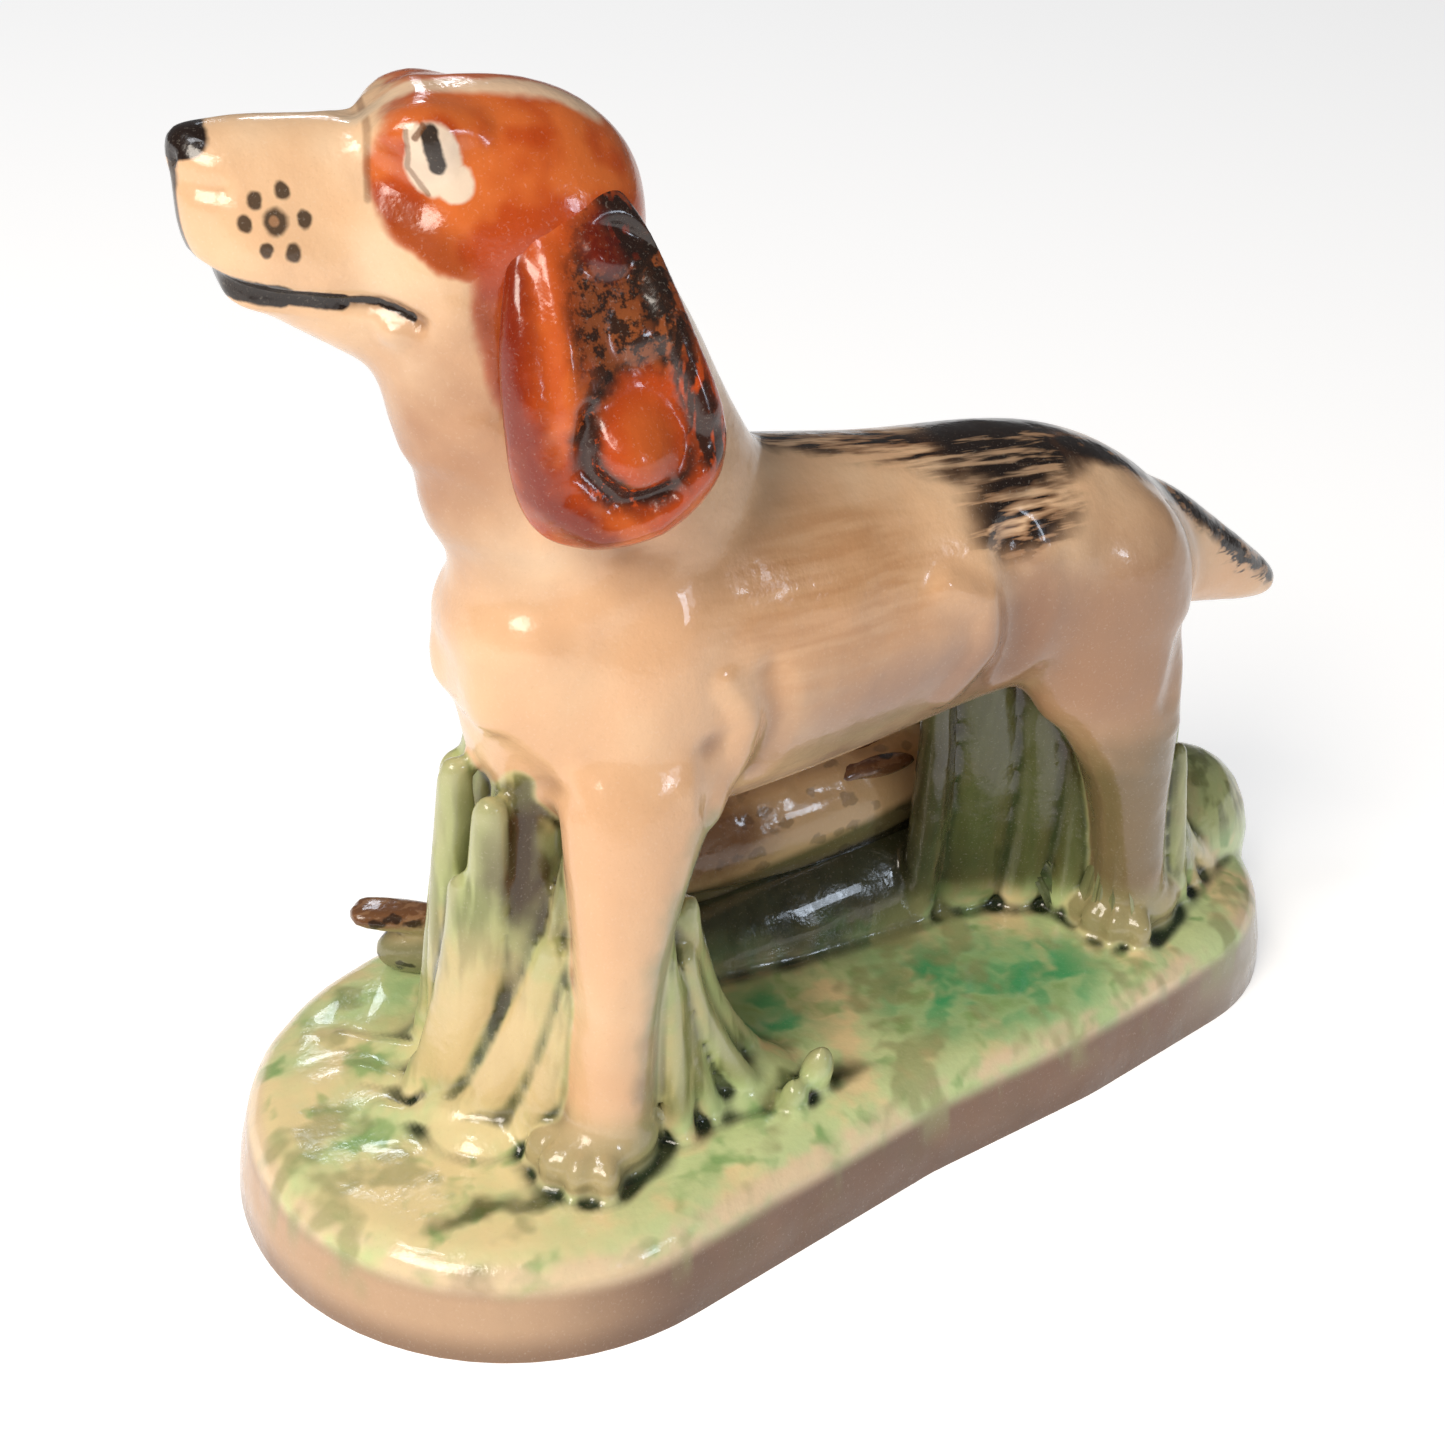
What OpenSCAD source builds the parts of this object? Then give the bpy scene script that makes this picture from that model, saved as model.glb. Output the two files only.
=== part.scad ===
// A slip-cast and hand-painted ceramic setter, standing on a grassy plinth with a game bird in the reeds.
// The figure faces -X and its display side faces -Y. The origin is under the middle of the plinth, on the
// shelf. Each piece is cast or rolled on its own, and is trimmed to meet its neighbours face to face, where
// slip joins them.

/* [Plinth] */
// Length of the plinth along X
plinth_l = 134; // [128:1:140]
// Width of the plinth's wide front end
plinth_w = 61; // [57:1:64]
// Width of the plinth's narrow back end
plinth_w_back = 48; // [44:1:50]
// Width of the plinth at its waist
plinth_w_waist = 50; // [46:1:52]
// Height of the turf above the shelf
plinth_h = 11; // [10:0.5:12]

/* [Dog] */
// Height of the top of the skull above the shelf
dog_top = 116.5; // [112:0.5:120]
// How far the head is turned towards the dog's right, in degrees
head_turn = 15; // [10:1:18]

/* [Casting] */
// Thickness of the cast walls
wall = 3; // [2.5:0.25:3.5]
// Diameter of the vent hole in the floor
vent_d = 3.5; // [3:0.25:4]

/* [Hidden] */

floor_t = wall;                      // thickness of the slab that closes the plinth
rim_r = 4;                           // rounding of the plinth's top edge
batter = 1.5;                        // how far the plinth's wall leans in over its height
front_r = plinth_w / 2;              // the plinth's two round ends
back_r = plinth_w_back / 2;
ground = plinth_h;                   // height of the turf that the paws stand on
drawn_ground = 11;                   // the same height in the figure that the stations are drawn from
drawn_top = 116.5;                   // and the height of its skull
rise = (dog_top - ground) / (drawn_top - drawn_ground);

glaze_cream = [0.93, 0.83, 0.68];
glaze_green = [0.47, 0.58, 0.38];
glaze_russet = [0.74, 0.30, 0.13];
glaze_tan = [0.80, 0.65, 0.42];
glaze_umber = [0.36, 0.22, 0.14];
bisque = [0.88, 0.80, 0.70];

far = 400;                           // larger than the whole figure, for cutting planes
body_fn = 20;                        // facets round the large masses
limb_fn = 14;                        // facets round legs, ears and tail
blade_fn = 12;                       // facets round a blade of grass
cavity_fn = 12;                      // facets round the hollow inside
blade_steps = 4;                     // lengths that a blade of grass is hulled in
blade_round = 2.2;                   // rounding of its tip
root_z = 8;                          // depth that its root starts at, inside the turf

// ---- shapes that repeat -------------------------------------------------------------------------

// Height above the shelf of a point of the dog, from its height in the figure as drawn
function up(z) = ground + (z - drawn_ground) * rise;

// An ellipsoid of half-axes r about c, its height following dog_top
module mass(c, r, fn = limb_fn) {
    translate([c[0], c[1], up(c[2])]) scale([r[0], r[1], r[2] * rise]) sphere(r = 1, $fn = fn);
}

// A chain of masses, each hulled to the next: every station is [centre, half-axes]
module limb(stations, fn = limb_fn) {
    for (i = [0 : len(stations) - 2])
        hull() {
            mass(stations[i][0], stations[i][1], fn);
            mass(stations[i + 1][0], stations[i + 1][1], fn);
        }
}

// The same chain, taken in by the wall's thickness, for the hollow that the slip leaves
module hollow(stations, fn = cavity_fn) {
    limb([for (s = stations) [s[0], s[1] - [wall, wall, wall]]], fn);
}

// A leaf-shaped blade of grass from root to tip: broad at its foot, bowed sideways, and thin at its tip
module blade(root, tip, w, t, bow) {
    function along(u) = root + (tip - root) * u + bow * 4 * u * (1 - u);
    function share(u) = 0.42 + 0.58 * sin(180 * (0.30 + 0.64 * u));
    for (i = [0 : blade_steps - 1])
        hull()
            for (u = [i / blade_steps, (i + 1) / blade_steps])
                translate(along(u))
                    scale([w / 2 * share(u), t / 2 * share(u), blade_round])
                        sphere(r = 1, $fn = blade_fn);
}

// The space above a plane through p that is pitched about Y
module above(p, pitch) {
    translate(p) rotate([0, pitch, 0]) translate([-far / 2, -far / 2, 0]) cube(far);
}

// Turns the head about the neck, towards the dog's right
module turned() {
    pivot = [-32, 0, 0];
    translate(pivot) rotate([0, 0, -head_turn]) translate(-pivot) children();
}

// ---- stations of the dog's masses: [centre, half-axes] ------------------------------------------

torso_stations = [
    [[-34.5, 0, 57.5], [8.5, 12, 13]],
    [[-26, 0, 60], [12, 14, 19]],
    [[-12, 0, 60], [12, 14.5, 20]],
    [[3, 0, 60], [11, 13.5, 16.5]],
    [[16, 0, 61], [11, 12.5, 14.8]],
    [[27, 0, 58.5], [11, 13, 14.5]],
    [[35, 0, 54], [8.8, 11, 13]]
];
neck_stations = [
    [[-18, 0, 66], [15, 12, 14.5]],
    [[-28, 0, 76], [16, 11, 11]],
    [[-31, 0, 88], [15.6, 9.8, 9]],
    [[-34, 0, 97], [13, 9.5, 9.5]]
];
skull_stations = [
    [[-34.5, 0, 104], [11.6, 9.8, 12.3]],
    [[-43, 0, 103.4], [6.5, 8, 11.8]],
    [[-50, 0, 103.8], [5, 6, 9.8]],
    [[-55.5, 0, 105], [4.6, 5.4, 8.6]],
    [[-59.3, 0, 106.6], [3.8, 4.6, 6.9]]
];
nose_stations = [
    [[-60.4, 0, 110.6], [2.3, 2.6, 2.4]],
    [[-61.2, 0, 110], [2, 1.8, 2]]
];

neck_joint = [-28, 0, up(76)];       // where the head's casting is joined to the torso
neck_pitch = -18;
ear_forward = -2.5;                  // how far forward the right ear hangs of the left one
toe_reach = 3.6;                     // how far the toes stand out of the foot

// ---- the dog ------------------------------------------------------------------------------------

// Outside of the body's casting, before the head and the legs are joined
module body_form() {
    limb(torso_stations, body_fn);
    limb([neck_stations[0], neck_stations[1]], body_fn);
    for (side = [-1, 1]) {
        hull() {                                         // shoulder
            mass([-27, 7.5 * side, 60], [8, 6.5, 13]);
            mass([-26, 8.5 * side, 49], [8, 6, 8]);
        }
        hull() {                                         // haunch
            mass([29, 6.5 * side, 57], [10, 7, 11]);
            mass([31, 6.5 * side, 46], [9, 6, 8]);
        }
    }
}

// Outside of the neck and head, before the ears are joined
module head_form() {
    limb(neck_stations, body_fn);
    turned() {
        limb(skull_stations, body_fn);
        limb(nose_stations);
    }
    hull() {
        mass(neck_stations[3][0], neck_stations[3][1], body_fn);
        turned() mass(skull_stations[0][0], skull_stations[0][1], body_fn);
    }
}

module torso() {
    color(glaze_cream)
        difference() {
            body_form();
            above(neck_joint, neck_pitch);
            hollow(torso_stations);
            hollow([neck_stations[0], neck_stations[1]]);
            // vent pricked through the belly, hidden by the grass
            translate([3, 0, up(40)]) cylinder(d = wall, h = 4 * wall, $fn = 16);
        }
}

module head() {
    color(glaze_cream)
        difference() {
            intersection() {
                head_form();
                above(neck_joint, neck_pitch);
            }
            hollow(neck_stations);
            turned() hollow([skull_stations[0], skull_stations[1]]);
        }
}

// A hanging ear, 29 mm long, rolled flat and thickened at its lower edge; side is -1 on the dog's left
module ear(side) {
    color(glaze_russet)
        difference() {
            turned()
                translate([side > 0 ? ear_forward : 0, 0, 0])
                    limb([
                        [[-30.5, 8.5 * side, 107.5], [5, 3, 4]],
                        [[-29, 10.5 * side, 103], [7.5, 3, 5]],
                        [[-28.6, 12 * side, 97], [8.8, 2.8, 5]],
                        [[-28, 13 * side, 90], [9.5, 2.8, 5]],
                        [[-28, 13 * side, 85], [9.2, 3, 5]],
                        [[-29.2, 12.4 * side, 82], [6.5, 2.6, 4]]
                    ]);
            head_form();
            body_form();
        }
}

// Every leg is a chain from its foot to the body's line, with four toes in the foot
module leg(stations) {
    foot = stations[0][0];
    limb(stations);
    for (toe = [-1.5 : 1 : 1.5])
        hull() {
            mass(foot + [-toe_reach, toe * 2.2, 0], [2.6, 1.7, 2.6], 12);
            mass(foot + [0, toe * 1.5, 1], [3, 1.9, 3], 12);
        }
}

foreleg_left_stations = [
    [[-33.8, -16.3, 13.8], [4.8, 4.6, 3.6]],
    [[-33, -15.8, 20], [4.6, 4.3, 4]],
    [[-32, -15, 29], [4.6, 4.3, 5]],
    [[-30, -13.8, 39], [6, 5, 6]],
    [[-27.5, -9.5, 52], [7, 4.6, 7]]
];
foreleg_right_stations = [
    for (s = foreleg_left_stations) [[s[0][0] + 5, 1 - s[0][1], s[0][2]], s[1]]
];
hindleg_left_stations = [
    [[40, -7.5, 13.8], [5, 4.6, 3.6]],
    [[38.7, -7.8, 20], [4.5, 4.3, 4]],
    [[37.2, -8.2, 28], [4.8, 4.4, 5]],
    [[35, -8.5, 36], [6, 5, 5.5]],
    [[31, -6.5, 48], [7.5, 5, 7]]
];
hindleg_right_stations = [
    for (s = hindleg_left_stations) [[s[0][0] - 4, 1.5 - s[0][1], s[0][2]], s[1]]
];

// The leg's own casting, trimmed where the body, the turf and its neighbours are joined to it
module trimmed_leg(stations) {
    color(glaze_cream)
        difference() {
            intersection() {
                leg(stations);
                above([0, 0, ground], 0);
            }
            body_form();
        }
}

module tail() {
    color(glaze_tan)
        difference() {
            limb([
                [[36, 0, 58], [7, 6, 8]],
                [[44, 0, 56], [5, 4.6, 6.4]],
                [[50, 0, 53.5], [4.5, 3.8, 5.2]],
                [[55, 0, 51.5], [3.8, 3.2, 4]],
                [[59.3, 0, 50], [2.6, 2.3, 2.4]]
            ]);
            body_form();
        }
}

// ---- the plinth ---------------------------------------------------------------------------------

// Stations of the plinth's outline: [x, y, radius]. The back end is set a little towards the far side.
plinth_stations = [
    [-plinth_l / 2 + front_r, -1, front_r],
    [-2, 1, plinth_w_waist / 2 + 1],
    [22, 2.5, plinth_w_waist / 2],
    [plinth_l / 2 - back_r, 5.5, back_r]
];

// A slab in the plinth's outline, drawn in by inset
module slab(inset, h) {
    for (i = [0 : len(plinth_stations) - 2])
        hull()
            for (s = [plinth_stations[i], plinth_stations[i + 1]])
                translate([s[0], s[1]]) cylinder(r = s[2] - inset, h = h, $fn = 32);
}

// One round boss of the plinth: a leaning wall under a rounded rim
module boss(s, inset, top) {
    r = s[2] - inset;
    edge = min(rim_r, top / 2);
    translate([s[0], s[1], 0])
        rotate_extrude($fn = 32)
            polygon(concat(
                [[0, 0], [r, 0]],
                [for (a = [0 : 22.5 : 90]) [r - batter - edge + edge * cos(a), top - edge + edge * sin(a)]],
                [[0, top]]
            ));
}

module plinth_form(inset = 0, top = plinth_h) {
    for (i = [0 : len(plinth_stations) - 2])
        hull() {
            boss(plinth_stations[i], inset, top);
            boss(plinth_stations[i + 1], inset, top);
        }
}

// The plinth with the bank that the bird lies on
module turf() {
    plinth_form();
    hull() {
        translate([-8, 14, ground - 2]) scale([12, 9, 7]) sphere(r = 1, $fn = 20);
        translate([17, 13, ground - 2]) scale([12, 9, 9]) sphere(r = 1, $fn = 20);
    }
}

module plinth_shell() {
    color(glaze_green)
        difference() {
            turf();
            plinth_form(wall, plinth_h - wall);
            // rebate that the floor is stuck into
            translate([0, 0, -1]) slab(wall, floor_t + 1);
        }
}

// The slab that closes the plinth, with the hole that lets the kiln's heat out
module plinth_floor() {
    color(bisque)
        difference() {
            slab(wall, floor_t);
            translate([4, 0, -1]) cylinder(d = vent_d, h = floor_t + 2, $fn = 48);
        }
}

// ---- the grass and the bird ---------------------------------------------------------------------

// Blades of grass, each [root, tip, width, thickness, bow], that stand on the turf clear of each other
module clump(blades) {
    color(glaze_green)
        intersection() {
            for (b = blades) blade(b[0], b[1], b[2], b[3], b[4]);
            above([0, 0, ground], 0);
        }
}

module grass_chest() {
    clump([
        [[-42, -5, root_z], [-40, -3.5, 42], 7, 5, [-1.5, 0, 0]],
        [[-46.5, -1.5, root_z], [-44.5, 0, 37], 6, 5, [-1, 0, 0]],
        [[-42, 5, root_z], [-40.5, 5, 42], 7, 5, [-1.5, 0, 0]],
        [[-38.5, -9.5, root_z], [-37.5, -8.5, 36], 4.5, 4, [-1, 0, 0]]
    ]);
}

module grass_foreleg_left() {
    clump([
        [[-22.5, -16, root_z], [-23, -14.5, 34], 5, 4, [1, -0.5, 0]],
        [[-17.5, -17.5, root_z], [-20.5, -14, 33], 5, 4, [0.5, -0.5, 0]],
        [[-16.5, -11.5, root_z], [-19, -9.5, 36], 6, 4.5, [-0.5, 0, 0]]
    ]);
}

module grass_foreleg_right() {
    clump([
        [[-38.5, 12, root_z], [-36.5, 12.5, 38], 7, 4.5, [-1, 0, 0]],
        [[-20, 25.5, root_z], [-20.5, 24.5, 34], 6, 3.5, [1, 0, 0]]
    ]);
}

module grass_flank() {
    clump([
        [[20, -0.5, root_z], [16.5, -0.5, 42], 6, 6, [-0.5, 0, 0]],
        [[27, -1, root_z], [22.5, -1.5, 43], 7.5, 6, [0.5, 0, 0]],
        [[29.5, -9, root_z], [26.5, -8.5, 35], 5, 4, [0, 0, 0]]
    ]);
}

module grass_hind_right() {
    clump([
        [[25, 23, root_z], [25.5, 20, 36], 6, 4.5, [0, 1, 0]],
        [[44.5, 14, root_z], [42.5, 13.5, 38], 6, 4.5, [1, 1, 0]]
    ]);
}

module grass_tail() {
    clump([
        [[52, -8, root_z], [46.5, -8, 27], 5, 4, [-0.5, 0, 0]],
        [[58, -1.5, root_z], [51, -3, 22], 5, 4, [-0.5, 0, 0]],
        [[49, 4, root_z], [51, 3, 32], 6, 5, [1, 0, 0]]
    ]);
}

module grass_bud() {
    clump([
        [[-9, -17.8, 7], [-7.5, -17.3, 16], 4.5, 4, [0, 0, 0]],
        [[-13.5, -19, 7], [-13, -18.5, 14], 3.5, 3.5, [0, 0, 0]]
    ]);
}

// The dog from the chest down, for trimming what leans against it
module dog_form() {
    body_form();
    leg(foreleg_right_stations);
    leg(hindleg_right_stations);
}

bird_stations = [
    [[-27, 17, 19], [8, 5.5, 6]],
    [[-16, 15, 21.5], [9, 7, 7.5]],
    [[-3, 13.5, 22.5], [10, 7.5, 8]],
    [[10, 12.5, 22.5], [9, 7, 7.5]],
    [[20, 12, 21], [6, 5, 6]]
];

module bird_form() {
    for (i = [0 : len(bird_stations) - 2])
        hull()
            for (s = [bird_stations[i], bird_stations[i + 1]])
                translate(s[0]) scale(s[1]) sphere(r = 1, $fn = 16);
}

module bird_body() {
    color(glaze_tan)
        difference() {
            bird_form();
            trim_for_bird();
        }
}

// Folded wing on the bird's near side: a row of shrinking feathers
module bird_wing() {
    color(glaze_umber)
        difference() {
            for (i = [0 : 4])
                hull()
                    for (end = [0, 1])
                        translate([12 - 6 * (i + end), 8 + 0.9 * (i + end), 26 - 0.4 * (i + end)])
                            scale([6.5 - (i + end) / 2, 3.4 - (i + end) / 3, 3.6 - (i + end) / 4])
                                sphere(r = 1, $fn = 12);
            bird_form();
            trim_for_bird();
        }
}

module bird_tail() {
    color(glaze_umber)
        difference() {
            for (i = [0 : 3])
                hull()
                    for (end = [0, 1])
                        translate([-27 - 4 * (i + end), 17.5 + 1.3 * (i + end), 18.6 - 0.6 * (i + end)])
                            scale([5, 5.2 - 0.7 * (i + end), 5.2 - 0.7 * (i + end)])
                                sphere(r = 1, $fn = 14);
            bird_form();
            trim_for_bird();
        }
}

// The bird is trimmed to everything that stands round it
module trim_for_bird() {
    dog_form();
    turf();
}

plinth_shell();
plinth_floor();
torso();
head();
ear(-1);  // ear_left
ear(1);  // ear_right
tail();
trimmed_leg(foreleg_left_stations);  // foreleg_left
trimmed_leg(foreleg_right_stations);  // foreleg_right
trimmed_leg(hindleg_left_stations);  // hindleg_left
trimmed_leg(hindleg_right_stations);  // hindleg_right
grass_chest();
grass_foreleg_left();
grass_foreleg_right();
grass_flank();
grass_hind_right();
grass_tail();
grass_bud();
bird_body();
bird_wing();
bird_tail();
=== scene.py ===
"""Ceramic setter on a grassy plinth: modelled as one clay, taken apart at its joints, then glazed."""
from math import cos, degrees, pi, radians, sin

import bpy
import numpy as np
from mathutils import Euler, Matrix, Vector
from mathutils.bvhtree import BVHTree


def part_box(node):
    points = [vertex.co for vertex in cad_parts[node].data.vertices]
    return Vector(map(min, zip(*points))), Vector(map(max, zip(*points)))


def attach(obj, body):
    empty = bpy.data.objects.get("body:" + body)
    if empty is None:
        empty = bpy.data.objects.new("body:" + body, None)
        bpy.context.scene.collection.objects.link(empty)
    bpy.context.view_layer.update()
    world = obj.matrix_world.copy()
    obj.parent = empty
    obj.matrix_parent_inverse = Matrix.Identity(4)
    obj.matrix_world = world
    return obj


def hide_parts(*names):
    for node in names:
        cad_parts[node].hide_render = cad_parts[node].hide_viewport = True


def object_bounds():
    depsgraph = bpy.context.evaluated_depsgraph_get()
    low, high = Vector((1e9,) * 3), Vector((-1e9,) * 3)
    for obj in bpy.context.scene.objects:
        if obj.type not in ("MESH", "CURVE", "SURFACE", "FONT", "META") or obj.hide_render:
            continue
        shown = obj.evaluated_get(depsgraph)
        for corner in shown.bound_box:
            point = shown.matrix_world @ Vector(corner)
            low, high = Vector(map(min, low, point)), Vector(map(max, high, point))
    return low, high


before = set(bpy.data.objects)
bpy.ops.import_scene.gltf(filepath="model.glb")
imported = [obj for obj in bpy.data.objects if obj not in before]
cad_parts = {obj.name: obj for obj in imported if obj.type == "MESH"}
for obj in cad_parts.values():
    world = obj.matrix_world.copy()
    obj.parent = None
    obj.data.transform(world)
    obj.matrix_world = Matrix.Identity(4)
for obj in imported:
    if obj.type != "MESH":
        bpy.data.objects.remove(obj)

cad_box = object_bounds()

# ---- driving sizes: the figure is designed in millimetres and brought to the frame's size at the end ----

MM = 0.001
DESIGN_LENGTH = 134.0
frame_length = cad_box[1].x - cad_box[0].x
FIT = frame_length / (DESIGN_LENGTH * MM)          # 1 when the frame is at the designed size
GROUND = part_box("foreleg_left")[0].z / MM / FIT    # where the left foreleg starts, at the turf
HEAD_TURN = radians(15)                            # the head looks this far to the dog's right
NECK_PIVOT = (-32.0, 0.0, 100.0)
CLAY_VOXEL = 0.6            # grain of the clay skin
JOINT_DEPTH = 1.6                                  # how far a cut is carried into the clay
REBATE_LIP, REBATE_DEPTH = 2.7, 3.05               # the seat in the underside that takes the floor

# ---- the camera ----------------------------------------------------------------------------------


def add_camera():
    """A close, slightly rolled view from the dog's left front, above the back."""
    bpy.ops.object.camera_add()
    cam = bpy.context.object
    cam.name = "camera"
    turn, rise, roll = radians(-30.0), radians(31.2), radians(2.4)
    distance = 216         # from the point aimed at
    back = Vector((sin(turn) * cos(rise), -cos(turn) * cos(rise), sin(rise)))
    right = Vector((cos(turn), sin(turn), 0))
    up = back.cross(right)
    rolled_right = right * cos(roll) + up * sin(roll)
    rolled_up = up * cos(roll) - right * sin(roll)
    aim = Vector((0, 0, 55)) - 11.4 * rolled_right - 8.8 * rolled_up
    cam.rotation_mode = "QUATERNION"
    cam.rotation_quaternion = Matrix((rolled_right, rolled_up, back)).transposed().to_quaternion()
    cam.location = (aim + distance * back) * MM * FIT
    cam.data.lens = 51.57
    cam.data.sensor_width = 36
    cam.data.clip_start = 0.005
    cam.data.clip_end = 20
    bpy.context.scene.camera = cam


# ---- modelling moves -------------------------------------------------------------------------------


def deselect():
    if bpy.context.object and bpy.context.object.mode != "OBJECT":
        bpy.ops.object.mode_set(mode="OBJECT")
    bpy.ops.object.select_all(action="DESELECT")


def only(piece):
    deselect()
    piece.select_set(True)
    bpy.context.view_layer.objects.active = piece


def turn_ring(angle, centre):
    if abs(angle) > 1e-6:
        bpy.ops.transform.rotate(value=angle, orient_axis="Y", center_override=centre)


def pulled(name, rings, sides=16, levels=2, lying=False):
    """A closed tube pulled from ring to ring. A ring is (centre, half across x or z, half across y, lean):
    it lies level, or stands across the X axis when lying, and leans about Y in degrees."""
    deselect()
    centre, along, across, lean = rings[0]
    start = pi / 2 if lying else 0.0
    bpy.ops.mesh.primitive_circle_add(vertices=sides, radius=1, fill_type="NGON", location=centre)
    piece = bpy.context.object
    piece.name = name
    bpy.ops.object.mode_set(mode="EDIT")
    bpy.ops.mesh.select_all(action="SELECT")
    bpy.ops.transform.resize(value=(along, across, 1), center_override=centre)
    turn_ring(-(start + radians(lean)), centre)
    before = rings[0]
    for ring in rings[1:]:
        centre, along, across, lean = ring
        step = Vector(centre) - Vector(before[0])
        bpy.ops.mesh.extrude_region_move(TRANSFORM_OT_translate={"value": step})
        turn_ring(start + radians(before[3]), centre)
        ratio = (along / before[1], across / before[2], 1)
        bpy.ops.transform.resize(value=ratio, center_override=centre)
        turn_ring(-(start + radians(lean)), centre)
        before = ring
    bpy.ops.mesh.select_all(action="SELECT")
    bpy.ops.mesh.normals_make_consistent(inside=False)
    bpy.ops.object.mode_set(mode="OBJECT")
    if levels:
        add_modifier(piece, "SUBSURF", levels=levels, render_levels=levels)
    return piece


def lump(name, centre, size, turn=(0, 0, 0), levels=3):
    """A rounded lump of clay: a ball pressed to half-axes size, turned in degrees about its centre."""
    deselect()
    bpy.ops.mesh.primitive_ico_sphere_add(subdivisions=levels, radius=1, location=(0, 0, 0))
    piece = bpy.context.object
    piece.name = name
    piece.scale = size
    piece.rotation_euler = Euler([radians(a) for a in turn])
    piece.location = centre
    bpy.ops.object.transform_apply(location=True, rotation=True, scale=True)
    return piece


def add_modifier(piece, kind, **settings):
    """Adds a modifier to the piece and applies it at once."""
    only(piece)
    modifier = piece.modifiers.new(kind.lower(), kind)
    for key, value in settings.items():
        setattr(modifier, key, value)
    bpy.ops.object.modifier_apply(modifier=modifier.name)


def joined(name, pieces):
    deselect()
    for piece in pieces:
        piece.select_set(True)
    bpy.context.view_layer.objects.active = pieces[0]
    bpy.ops.object.transform_apply(location=True, rotation=True, scale=True)
    bpy.ops.object.join()
    whole = bpy.context.object
    whole.name = name
    return whole


def kneaded(name, pieces, voxel, smooth, strength=0.5):
    """Presses separate lumps into one skin, and smooths the creases between them."""
    clay = joined(name, pieces)
    add_modifier(clay, "REMESH", mode="VOXEL", voxel_size=voxel)
    if smooth:
        add_modifier(clay, "SMOOTH", factor=strength, iterations=smooth)
    return clay


class Sculpting:
    """Work on one piece of clay with thumb and wire tool: soft pushes along the surface's own normals."""

    def __init__(self, piece):
        self.piece = piece
        mesh = piece.data
        self.place = np.empty(3 * len(mesh.vertices))
        mesh.vertices.foreach_get("co", self.place)
        self.place = self.place.reshape(-1, 3)
        self.find_normals()

    def find_normals(self):
        self.piece.data.vertices.foreach_set("co", self.place.ravel())
        self.piece.data.update()
        self.normal = np.empty(self.place.size)
        self.piece.data.vertex_normals.foreach_get("vector", self.normal)
        self.normal = self.normal.reshape(-1, 3)

    def in_head(self):
        """Places as they are before the head is turned on the neck."""
        off = self.place - NECK_PIVOT
        c, s = cos(HEAD_TURN), sin(HEAD_TURN)
        turned = (c * off[:, 0] - s * off[:, 1], s * off[:, 0] + c * off[:, 1], off[:, 2])
        return np.stack(turned, 1) + NECK_PIVOT

    def near(self, path, reach, seen, head):
        """How strongly a stroke is felt: 1 on its path, 0 at reach. It is drawn in the seen axes."""
        spots = (self.in_head() if head else self.place)[:, seen]
        path = np.array(path, dtype=float)
        distance = np.full(len(spots), 1e9)
        for a, b in zip(path[:-1], path[1:]) if len(path) > 1 else [(path[0], path[0])]:
            along = b - a
            share = np.clip((spots - a) @ along / max(along @ along, 1e-9), 0, 1)
            distance = np.minimum(distance, np.linalg.norm(spots - a - share[:, None] * along, axis=1))
        return np.clip(1 - (distance / reach) ** 2, 0, 1) ** 2

    def swell(self, path, height, reach, seen="xyz", head=False, low=None, high=None, way=None):
        """Raises or sinks the clay along a path drawn in the seen axes, between two corners if given."""
        axes = ["xyz".index(a) for a in seen]
        felt = self.near(path, reach, axes, head)
        spots = self.in_head() if head else self.place
        for axis in range(3):
            if low and low[axis] is not None:
                felt = felt * np.clip((spots[:, axis] - low[axis]) / 1.5, 0, 1)
            if high and high[axis] is not None:
                felt = felt * np.clip((high[axis] - spots[:, axis]) / 1.5, 0, 1)
        direction = self.normal if way is None else np.array(way, dtype=float)
        self.place = self.place + direction * (height * felt)[:, None]

    def done(self, smooth=0):
        self.find_normals()
        if smooth:
            add_modifier(self.piece, "SMOOTH", factor=0.5, iterations=smooth)


# ---- the clay forms, each belonging to one piece ---------------------------------------------------

GROWN = 1.03           # a subdivided cage draws in by this much


def rings_of(rows, lying=False):
    """Rings from rows: lying (x, z, half high, half wide), others (z, x, y, half along, half wide)."""
    if lying:
        return [((x, 0, z), GROWN * h, GROWN * w, 0) for x, z, h, w in rows]
    return [((x, y, z), GROWN * hx, GROWN * hy, 0) for z, x, y, hx, hy in rows]


def head_turned(piece):
    """Turns a finished form of the head on the neck."""
    only(piece)
    bpy.ops.object.transform_apply(location=True, rotation=True, scale=True)
    pivot = Matrix.Translation(NECK_PIVOT)
    piece.matrix_world = pivot @ Matrix.Rotation(-HEAD_TURN, 4, "Z") @ pivot.inverted()
    bpy.ops.object.transform_apply(location=True, rotation=True, scale=True)
    return piece


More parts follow.
